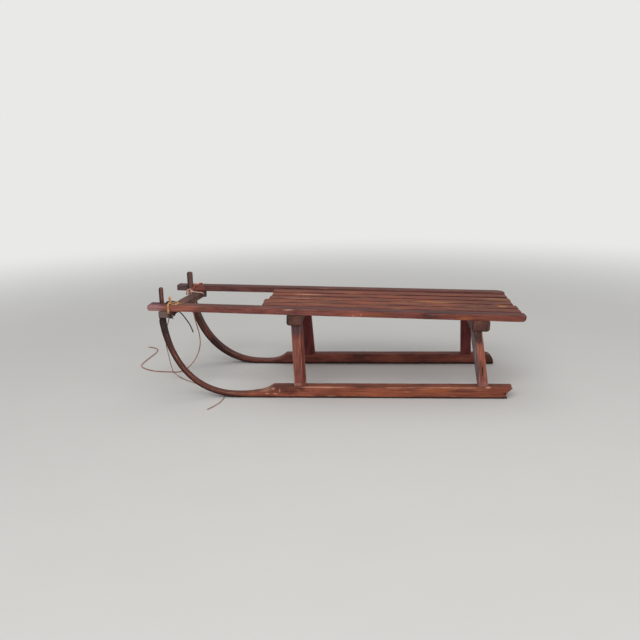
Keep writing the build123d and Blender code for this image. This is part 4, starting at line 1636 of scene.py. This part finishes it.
    def horn_cuts(self, side: Side, base: Cut) -> list[Cut]:
        """Cuts of the straight horn above the bend.

        Args:
            side: Which runner.
            base: Last cut of the bend.

        Returns:
            The cuts up to the tip, which is planed narrower.
        """
        bend = BENDS[side]
        x_top, z_top = bend.at(1.0)
        thick = bend.thick(1.0)
        tall = board_lie(side.value * RAIL_MID).at(x_top, 0, RAIL_THICK + self.horn_rise[side.index]).z / MM
        cuts = []
        for z in sorted({*steps(z_top + self.horn_from, tall, self.horn_step), tall - self.horn_tip}):
            taper = self.horn_taper[side.index] * max(0.0, 1 - (tall - z) / self.horn_tip)
            wide = side.span(self.horn_inner + taper, self.horn_inner + self.horn_depth - taper)
            cuts.append(Cut(spot(x_top + BAND_THICK, 0, z), ACROSS, BACKWARD, wide, (taper, thick - taper),
                            (self.horn_edges,) * 4, base.along - (z - z_top)))
        return cuts

    def runner(self, side: Side) -> None:
        """Build one runner: foot, scoop, bend and horn.

        Args:
            side: Which one.
        """
        cuts = self.foot_cuts(side)
        cuts += self.bend_cuts(side, BAND_THICK, BENDS[side].thick, 0.0, None, self.bend_edges)
        cuts += self.horn_cuts(side, cuts[-1])
        seed, apart = self.runner_seed
        stick = StickMesh("runner_%s_bent" % side.word, seed + side.value * apart, nicks=1.0)
        finish, end = FAR_RUNNER_WOOD, End.SAWN
        if side is Side.LEFT:
            finish, end = RUNNER_WOOD, End.BROKEN
            stick.reach = self.break_line(cuts[0])
        made = stick.skin(self.shoulder(side, cuts), finish, (end, End.SAWN))
        report(made, "frame_wood", ["runner_" + side.word])

    def break_line(self, first: Cut) -> Callable[[float, float], float]:
        """Shape of the slanting, splintered break at the left runner's rear end.

        Args:
            first: Its last whole cut, before the break.

        Returns:
            Function that gives how far the wood goes on behind that cut, mm.
        """
        most, level, high = self.skew

        def reach(a: float, b: float) -> float:
            """How far the wood goes on at y and z.

            Args:
                a: Place across the sled, mm.
                b: Height, mm.

            Returns:
                The distance, mm.
            """
            inner = (a + self.spread / 2) / self.width
            skew = most * inner * clamp((b - level) / high)
            return self.end + along_line(self.broken, b) - first.along + skew
        return reach

    def shoulder(self, side: Side, cuts: Sequence[Cut]) -> list[Cut]:
        """Cut the outer side back where the wood passes the bar and the rail.

        Args:
            side: Which runner.
            cuts: Cuts of the whole runner.

        Returns:
            The same cuts with the horn's outer side stepped in.
        """
        level = underside(HORN_X, side.value * RAIL_MID) - (BAR.thick if side is Side.LEFT else 0.0)
        limit = self.horn_inner + self.horn_depth
        found: list[Cut] = []
        for cut in cuts:
            inner, outer = sorted(abs(v) for v in cut.wide)
            if cut.place(0, cut.high[0]).z / MM > level and outer > limit:
                if found and max(abs(v) for v in found[-1].wide) > limit:
                    found.append(cut)
                cut = replace(cut, wide=side.span(inner, limit))
            found.append(cut)
        return found

    def steel_band(self, side: Side) -> None:
        """Build the steel band that follows the foot and the bend.

        Args:
            side: Which one.
        """
        tail = self.end - self.band_short[side.index]
        cuts = [Cut(spot(x, 0, 0), ACROSS, UPRIGHT, self.across_limits(side, x, 0.0, self.band_inset),
                    (0.0, BAND_THICK), (self.band_edges,) * 4, x)
                for x in steps(tail, BENDS[side].start, self.step)[:-1]]
        cuts += self.bend_cuts(side, 0.0, lambda t: BAND_THICK, self.band_inset,
                               underside(HORN_X, side.value * RAIL_MID) - BAR.thick - self.band_below_bar,
                               self.band_edges)
        stick = StickMesh("strip_%s_band" % side.word, self.band_seed + side.value, uneven=0.05, nicks=0.0,
                          sides=(3, 1))
        report(stick.skin(cuts, BAND_STEEL), "strip_steel", ["strip_" + side.word])

    def build(self) -> None:
        """Build both runners and bands."""
        for side in Side:
            self.runner(side)
            self.steel_band(side)


# ---------------------------------------------------------------- beams, posts and bar
@dataclass(frozen=True)
class Post:
    """Sizes of one leaning post in side view, in mm.

    Its front edge starts back behind the beam's front edge, its head is so long under the
    beam, its foot starts further to the rear and is so long on the runner. The bevel has a
    size at the head and at the foot, on the corner with that number.
    """

    back: float
    head: float
    further: float
    foot: float
    bevel_head: float
    bevel_foot: float
    corner: int
    finish: StainedBeech


@dataclass
class Undercarriage:
    """Crossbeams on leaning posts, and the plain bar under the front of the rails.

    The near rear post has a cheek that clasps the beam's front. Its front edge is given
    as shares (forward of the cheek, up of the beam's thickness from its underside). The
    gaps of a post are the last even cut under the beam, its head under the beam, and the
    cheek under the seat. The grain of the beams and of the bar starts at its own place.
    """

    beam_length: float = 336.0
    beam_thick: float = 27.6
    beam_edges: Pair = (8.5, 2.2)
    beams: tuple[Pair, Pair] = ((374.7, 39.3), (863.0, 43.0))
    posts: dict[tuple[Place, Side], Post] = field(default_factory=lambda: {
        (Place.FRONT, Side.LEFT): Post(10.8, 29.4, 5.3, 31.0, 5.2, 7.0, 1, FRONT_POST_WOOD),
        (Place.FRONT, Side.RIGHT): Post(7.2, 28.8, 9.0, 32.3, 2.0, 2.0, 2, FAR_POST_WOOD_SHADED),
        (Place.REAR, Side.LEFT): Post(0.0, 23.5, 20.6, 25.7, 9.5, 4.6, 0, REAR_POST_WOOD),
        (Place.REAR, Side.RIGHT): Post(10.0, 30.0, 4.5, 30.0, 4.0, 4.5, 3, FAR_POST_WOOD_SHADED)})
    post_depth: float = 26.0
    post_splay: float = 4.7
    post_edges: float = 1.8
    foot_y: float = 155.25
    tenon: float = 16.0
    cheeked: tuple[Place, Side] = (Place.REAR, Side.LEFT)
    cheek: float = 15.5
    cheek_line: tuple[Pair, ...] = ((0.06, -1.0), (0.2, 0.0), (0.7, 0.65))
    bar_notch: Pair = (131.7, 145.3)
    notch_side: float = 0.05
    bar_edges: Range = (2.4, 2.0, 2.0, 2.0)
    beam_step: float = 5.0
    post_step: float = 5.0
    fine_step: float = 4.0
    post_gap: Triple = (1.0, 0.2, 0.4)
    least_bevel: Pair = (0.4, 1.0)
    bevel_end: float = 4.0
    seeds: Triple = (41.0, 51.0, 63.0)
    grain_from: Pair = (400.0, 200.0)

    def beam(self, place: Place) -> None:
        """Build one crossbeam.

        Args:
            place: Which one.
        """
        at, width = self.beams[place.index]
        lie = under_lie(at + width / 2)
        half = self.beam_length / 2
        worn, plain = self.beam_edges
        low = (worn, plain) if place is Place.FRONT else (plain, worn)
        cuts = [Cut(lie.at(at, y, -self.beam_thick), lie.along, lie.off, (0.0, width), (0.0, self.beam_thick),
                    (*low, plain, plain), y + self.grain_from[0]) for y in steps(-half, half, self.beam_step)]
        stick = StickMesh("crossbeam_%s_stick" % place.value, self.seeds[0] + width, uneven=0.35, nicks=0.9)
        report(stick.skin(cuts, BEAM_WOOD), "frame_wood", ["crossbeam_" + place.value])

    def edges_of(self, place: Place, side: Side) -> tuple[list[Pair], list[Pair]]:
        """Front and rear edge of a post.

        Args:
            place: Front or rear pair.
            side: Which side of the sled.

        Returns:
            The two edges as points (x, z) from its foot up, mm.
        """
        post = self.posts[(place, side)]
        at, width = self.beams[place.index]
        y = side.value * (self.foot_y - self.post_splay)
        low, under = RUNNER_TOP - self.tenon, underside(at + width / 2, y) - self.beam_thick
        start, high = at + post.back, underside(at, y)
        front = [(start + post.further, low), (start, under), (start, high)]
        rear = [(start + post.further + post.foot, low), (start + post.head, under), (start + post.head, high)]
        if (place, side) == self.cheeked:
            front = [front[0], *((start - forward * self.cheek, under + up * self.beam_thick)
                                 for forward, up in self.cheek_line), (start - self.cheek, high)]
        return front, rear

    def post(self, place: Place, side: Side) -> None:
        """Build one leaning post.

        Args:
            place: Front or rear pair.
            side: Which side of the sled.
        """
        post = self.posts[(place, side)]
        cheeked = (place, side) == self.cheeked
        at, width = self.beams[place.index]
        front, rear = self.edges_of(place, side)
        y = side.value * (self.foot_y - self.post_splay)
        beam_low = underside(at + width / 2, y) - self.beam_thick
        lean = self.post_splay / (underside(self.beams[0][0]) - self.beam_thick - RUNNER_TOP)
        last, under_beam, under_seat = self.post_gap
        marks = steps(RUNNER_TOP, beam_low - last, self.post_step)
        if cheeked:
            top = underside(at - self.cheek / 2, y) - under_seat
            marks += [beam_low, beam_low + self.notch_side, *steps(beam_low + self.fine_step, top, self.fine_step)]
        else:
            marks.append(beam_low - under_beam)
        half = self.post_depth / 2
        least_foot, least_cheek = self.least_bevel
        cuts = []
        for z in marks:
            x0, x1 = along_line(front, z), along_line(rear, z)
            if cheeked and z > beam_low:
                x1 = at - FIT + SEAT_DROP[0] / SEAT_LENGTH * (z - underside(at, y))
            share = (z - RUNNER_TOP) / (beam_low - RUNNER_TOP)
            mid = side.value * (self.foot_y - lean * (z - RUNNER_TOP))
            corners = [self.post_edges] * 4
            bevel = post.bevel_foot + (post.bevel_head - post.bevel_foot) * min(1.0, share)
            corners[post.corner] = max(least_foot, bevel)
            if share > 1:
                corners[post.corner] = max(least_cheek, post.bevel_head * (1 - self.bevel_end * (share - 1)))
            cuts.append(Cut(spot(0, mid, z), BACKWARD, ACROSS, (x0, x1), (-half, half), tuple(corners), z,
                            bevel=post.corner))
        stick = StickMesh("post_%s_%s_stick" % (place.value, side.word), self.seeds[1] + at + side.value,
                          uneven=0.3, nicks=0.9)
        report(stick.skin(cuts, post.finish), "frame_wood", ["post_%s_%s" % (place.value, side.word)])

    def bar(self) -> None:
        """Build the slipped bar with its notch for the left horn."""
        lie = BAR.lie()
        back = BENDS[Side.LEFT].span(underside(BAR.at, -RAIL_MID) - BAR.thick)[1] + FIT
        inner, outer = self.bar_notch
        sides = {-wall_y + move for wall_y in self.bar_notch for move in (-self.notch_side, self.notch_side)}
        cuts = []
        for y in sorted({*steps(BAR.left, BAR.right, self.fine_step), *sides}):
            front = BAR.front(y)
            start = back if -outer < y < -inner else front
            cuts.append(Cut(lie.at(0, y, -BAR.thick), lie.along, lie.off, (start, front + BAR.width),
                            (0.0, BAR.thick), self.bar_edges, y + self.grain_from[1]))
        stick = StickMesh("cross_bar_stick", self.seeds[2], uneven=0.4, nicks=1.2)
        report(stick.skin(cuts, BAR_WOOD), "bar_wood", ["cross_bar"])

    def build(self) -> None:
        """Build the beams, the posts and the bar."""
        for place in Place:
            self.beam(place)
            for side in Side:
                self.post(place, side)
        self.bar()


# ---------------------------------------------------------------- lashings
@dataclass(frozen=True)
class Strand:
    """One hand-laid run of twine, through points in the bar's own frame in mm."""

    finish: TwistedTwine
    route: tuple[Triple, ...]
    thick: float = 2.7


# golden twine round the left rail and the bar's end: turns, knot, bow and loose ends
LEFT_STRANDS = (
    Strand(GOLD_TWINE, ((57.4, -150, 21.5), (57, -158, 19.3), (56.4, -168.7, 19.6), (56.4, -168.4, 9),
           (57.4, -168.4, 1.5), (58.2, -171.2, -1), (59.2, -170.4, -10), (60.4, -169.4, -17.6), (61.5, -160, -17.8),
           (63, -145, -17.8), (65.0, -129.4, -18), (65.2, -129.8, -10), (65.2, -129.4, 4), (65.6, -128.6, 20),
           (63.5, -138, 19), (60, -148, 20.8)), 3.0),
    Strand(GOLD_TWINE, ((59.5, -150, 22.4), (59.4, -158, 19.6), (59.4, -168.8, 19.6), (59.3, -168.5, 9),
           (60.3, -168.5, 1.5), (61.2, -171.0, -1), (62.2, -169.8, -10), (62.4, -168.4, -17.6), (62.5, -158, -17.8),
           (63.5, -143, -17.8), (65.2, -126, -18), (65.4, -126.6, -10), (65.6, -126.6, 4), (68.8, -127.8, 20.5),
           (66, -138, 19.4), (62, -147, 22)), 3.0),
    Strand(GOLD_TWINE, ((55.5, -146, 20.5), (59, -144.5, 24.5), (62.5, -148, 26.2), (60, -152.5, 25), (56, -151, 22),
           (56.5, -147.5, 19.8), (61, -146.5, 20.6), (63, -150, 23.5), (59.5, -151.8, 27.2), (55.8, -148.8, 26.5),
           (57.2, -145.6, 22.5), (62, -149, 20.2)), 2.9),
    Strand(GOLD_TWINE, ((59, -149, 24), (56, -147.4, 27.5), (54.4, -146.6, 32), (56.2, -146.8, 36.2), (60, -148, 36),
           (61, -149.4, 31.5), (59.6, -149.6, 26), (58, -149, 23)), 3.6),
    Strand(GOLD_TWINE, ((60, -150.5, 24), (58.8, -151, 28.5), (56.6, -149.6, 32.5), (57.8, -147, 34.4),
           (60.6, -146.4, 31), (59.8, -147, 26)), 3.2),
    Strand(GOLD_TWINE, ((60, -148, 23), (65, -144, 21.5), (71, -143, 22.5), (77, -146, 23.5), (82, -151, 21.5),
           (83.5, -157, 19.2), (78, -161, 18.9), (70, -162, 19), (63, -159, 19.6), (59, -152, 22))),
    Strand(GOLD_TWINE, ((61, -150, 22.5), (67, -151.5, 22.4), (74, -150, 19.4), (82, -148, 18.9), (90, -146, 18.8))),
    Strand(DARK_LACE, ((50.6, -157, 19.4), (49.6, -151, 20.4), (50.8, -145, 22.8), (54.5, -146, 23.4),
           (56.5, -149, 21.5)), 4.2),
    Strand(DARK_LACE, ((60.5, -146, 22.5), (65.5, -144.5, 24), (70.5, -146, 23), (73, -151, 19.9)), 4.4),
    Strand(DARK_LACE, ((60.8, -169.4, -3), (64, -168, -6), (61.4, -169.6, -9), (65.6, -167, -11), (61.8, -169.4, -14),
           (66, -166.5, -16), (62.4, -168.4, -18.6)), 4.4),
    Strand(DARK_LACE, ((60.4, -169.8, -7), (65, -168.6, -12), (67.6, -166.5, -16.5), (70.4, -165, -21)), 3.6))
# faded red twine round the right rail, the bar's end and the horn, with slack loops
RIGHT_STRANDS = (
    Strand(RED_TWINE, ((46, 126.5, 0.5), (49.5, 128.6, 4), (53, 129.4, 9), (56.5, 129.4, 15), (59.5, 129.2, 20.2),
           (63, 139, 19.2), (67, 151, 19), (70.5, 168.6, 19.4), (72, 168.5, 9), (74, 168.6, -2), (75.5, 160, -19.8),
           (78, 150, -19.6), (80, 142, -19.4)), 4.2),
    Strand(RED_TWINE, ((33, 127, -2), (38, 126, 4), (44, 126.5, 6.5), (48.5, 128, 6), (51, 129.2, 10),
           (53.5, 129.3, 16), (55.5, 129.3, 20.4), (59, 140, 19.2), (63, 153, 19), (66, 168.6, 19.4), (67.5, 168.5, 7),
           (70, 168.6, -2), (72.5, 159, -19.8), (76, 145, -19.6)), 3.6),
    Strand(PALE_TWINE, ((44, 124, 1.5), (52, 116, 1.9), (62, 107, 1.9), (74, 100, 1.9), (80.5, 98.6, 1.9),
           (84.9, 101, 1.2), (86, 108, -3), (87, 116, -6)), 3.6),
    Strand(DARK_LACE, ((86.6, 113, -5), (87, 120, -6.5), (87.9, 132, -10), (88.2, 143, -15), (87, 149, -20.5),
           (78, 150, -19.8)), 3.4),
    Strand(PALE_TWINE, ((54, 124.5, 1.8), (48, 124.5, 3), (42, 124.3, 6), (36.5, 124.8, 6.2), (32.5, 125.6, 1.5),
           (32, 126.4, -5.5), (35.5, 126, -11), (41.5, 125.2, -9.5), (47.5, 124.6, -4.5), (53, 124.5, 0.5)), 3.3),
    Strand(PALE_TWINE, ((50, 123, 2), (44.5, 122.5, 0.5), (39, 123, -4.5), (36, 124.5, -1.5), (38, 126, 4.5),
           (43, 125.5, 8), (47.5, 124, 4.8), (48, 123, 0), (45, 123.5, -3.5)), 3.1),
    Strand(RED_TWINE, ((42.5, 127.5, -3), (46, 123.4, -4.6), (50, 124.6, -1), (48.5, 127, 3.4), (44, 126.8, 3.8),
           (42, 123.8, 1), (45.5, 122.4, -1.5), (49.5, 123.8, 1.4), (47, 126.4, 4.6))),
    Strand(PALE_TWINE, ((34, 127.5, 0.5), (29.5, 130.5, 0), (27, 136, -1), (26.8, 143, -2))),
    Strand(DARK_LACE, ((32.4, 127.5, 1), (29.8, 127.2, -5), (30.4, 127.3, -13)), 3.2))


@dataclass
class Lashings:
    """Twine that ties both rails to the bar, each side one piece of twisted strands.

    The lay is the length of a full turn. A ply swells a little over half of the strand, so
    that the two press together, and its last rings are thinner.
    """

    plies: int = 2
    sides: int = 7
    lay: float = 8.5
    step: float = 0.9
    swell: float = 1.16
    thin_end: Pair = (0.55, 0.25)
    valley_power: float = 1.5
    steps_along: int = 10
    crease: float = 60.0
    points: list[Vector] = field(default_factory=list)
    faces: list[tuple[int, ...]] = field(default_factory=list)
    valley: list[float] = field(default_factory=list)

    def middle_line(self, strand: Strand) -> list[Vector]:
        """Smooth middle line of a strand.

        Args:
            strand: The strand.

        Returns:
            Points in metres, evenly spaced.
        """
        lie = BAR.lie()
        curve = smooth_line("strand_line", (lie.at(*place) for place in strand.route), self.steps_along)
        holder = bpy.data.objects.new("strand_line", curve)
        mesh = bpy.data.meshes.new_from_object(holder)
        found = [v.co.copy() for v in mesh.vertices]
        bpy.data.objects.remove(holder)
        bpy.data.curves.remove(curve)
        bpy.data.meshes.remove(mesh)
        even, left = [found[0]], self.step * MM
        for one, two in zip(found, found[1:]):
            run, done = (two - one).length, 0.0
            while run - done >= left:
                done += left
                even.append(one.lerp(two, done / run))
                left = self.step * MM
            left -= run - done
        return even

    def twist(self, line: Sequence[Vector], thick: float) -> None:
        """Lay the plies of one strand round its middle line.

        Args:
            line: Middle line, m.
            thick: Thickness over both plies, mm.
        """
        reach = thick / 4 * MM
        side = (line[1] - line[0]).orthogonal().normalized()
        frames = []
        for middle, before, after in zip(line, (line[0], *line), (*line[1:], line[-1])):
            way = (after - before).normalized()
            side = (side - way * side.dot(way)).normalized()
            frames.append((middle, side, way.cross(side)))
        for ply in range(self.plies):
            rings = []
            for i, (middle, one, two) in enumerate(frames):
                turn = 2 * math.pi * (ply / self.plies + i * self.step / self.lay)
                thin = min(1.0, self.thin_end[0] + self.thin_end[1] * min(i, len(frames) - 1 - i))
                out = one * math.cos(turn) + two * math.sin(turn)
                rings.append(range(len(self.points), len(self.points) + self.sides))
                for k in range(self.sides):
                    angle = turn + 2 * math.pi * k / self.sides
                    spoke = one * math.cos(angle) + two * math.sin(angle)
                    self.points.append(middle + out * reach + spoke * reach * self.swell * thin)
                    self.valley.append(max(0.0, -spoke.dot(out)) ** self.valley_power)
            for before, after in zip(rings, rings[1:]):
                self.faces += wall(before, after)
            self.faces += [tuple(reversed(rings[0])), tuple(rings[-1])]

    def tie(self, side: Side, slot: str, strands: Sequence[Strand]) -> None:
        """Build one lashing.

        Args:
            side: Which end of the bar.
            slot: Name of a material slot.
            strands: Its strands.
        """
        self.points, self.faces, self.valley = [], [], []
        slots: list[int] = []
        finishes = list(dict.fromkeys(strand.finish for strand in strands))
        for strand in strands:
            self.twist(self.middle_line(strand), strand.thick)
            slots += [finishes.index(strand.finish)] * (len(self.faces) - len(slots))
        made = put_mesh("lashing_%s_twine" % side.word, self.points, self.faces, {"valley": self.valley}, self.crease)
        for finish in finishes:
            made.data.materials.append(finish_of(finish))
        made.data.polygons.foreach_set("material_index", slots)
        report(made, slot, ["lashing_" + side.word])

    def build(self) -> None:
        """Tie both ends of the bar."""
        self.tie(Side.LEFT, "lashing_light", LEFT_STRANDS)
        self.tie(Side.RIGHT, "lashing_dark", RIGHT_STRANDS)


# ---------------------------------------------------------------- nails
@dataclass
class Nails:
    """Round heads of the nails that hold the slats and the rails to the crossbeams.

    A head's profile is given as shares of its radius with heights over the wood.
    """

    head: float = 4.8
    profile: tuple[Pair, ...] = ((0.9, -0.8), (1.0, 0.1), (0.86, 0.3375), (0.5, 0.45))
    dented: Pair = (0.05, 0.9)
    sides: int = 14
    crease: float = 50.0
    slat_nails: tuple[Pair, ...] = (
        (395.0, -104.0), (391.0, -58.5), (398.0, -12.0), (393.0, 37.0), (396.0, 87.0),
        (883.0, -110.0), (889.0, -57.0), (901.0, -19.0), (880.0, 35.0), (868.0, 87.0))
    rail_nails: tuple[Pair, ...] = ((394.0, -150.0), (884.0, -151.0), (395.0, 151.0), (885.0, 150.0))
    points: list[Vector] = field(default_factory=list)
    faces: list[tuple[int, ...]] = field(default_factory=list)
    grain: list[Vector] = field(default_factory=list)

    def add_head(self, x: float, y: float, top: float) -> None:
        """Add one low domed head.

        Args:
            x: Distance of its middle from the front tip, mm.
            y: Distance of its middle from the sled's middle, mm.
            top: Height of the board's top over its underside, mm.
        """
        lie = board_lie(y)
        rings = []
        for share, high in self.profile:
            rings.append(range(len(self.points), len(self.points) + self.sides))
            for k in range(self.sides):
                angle = 2 * math.pi * k / self.sides
                dent = self.dented[0] * noise.noise(Vector((x, k * self.dented[1], y)))
                size = self.head / 2 * share * (1 + dent)
                a, b = x + size * math.cos(angle), y + size * math.sin(angle)
                self.points.append(lie.at(a, b, top + high))
                self.grain.append(Vector((a, b, high)) * MM)
        for low, up in zip(rings, rings[1:]):
            self.faces += wall(low, up)
        self.faces += [tuple(rings[-1]), tuple(reversed(rings[0]))]

    def build(self) -> None:
        """Set all the heads as one piece."""
        for nails, top in ((self.slat_nails, SLAT_THICK), (self.rail_nails, RAIL_THICK)):
            for x, y in nails:
                self.add_head(x, y, top)
        made = put_mesh("nail_heads", self.points, self.faces, {"grain": self.grain}, self.crease)
        made.data.materials.append(finish_of(NAIL_STEEL))
        report(made, "strip_steel", [])


def main() -> None:
    """Build the sled and its studio, piece by piece."""
    logging.basicConfig(level=logging.INFO, format="%(name)s: %(message)s")
    studio = StudioView()
    studio.camera()
    for assembly in (PullCords(), Seat(), Runners(), Undercarriage(), Lashings(), Nails()):
        assembly.build()
    studio.floor()
    studio.world()
    studio.light()


if __name__ == "__main__":
    main()
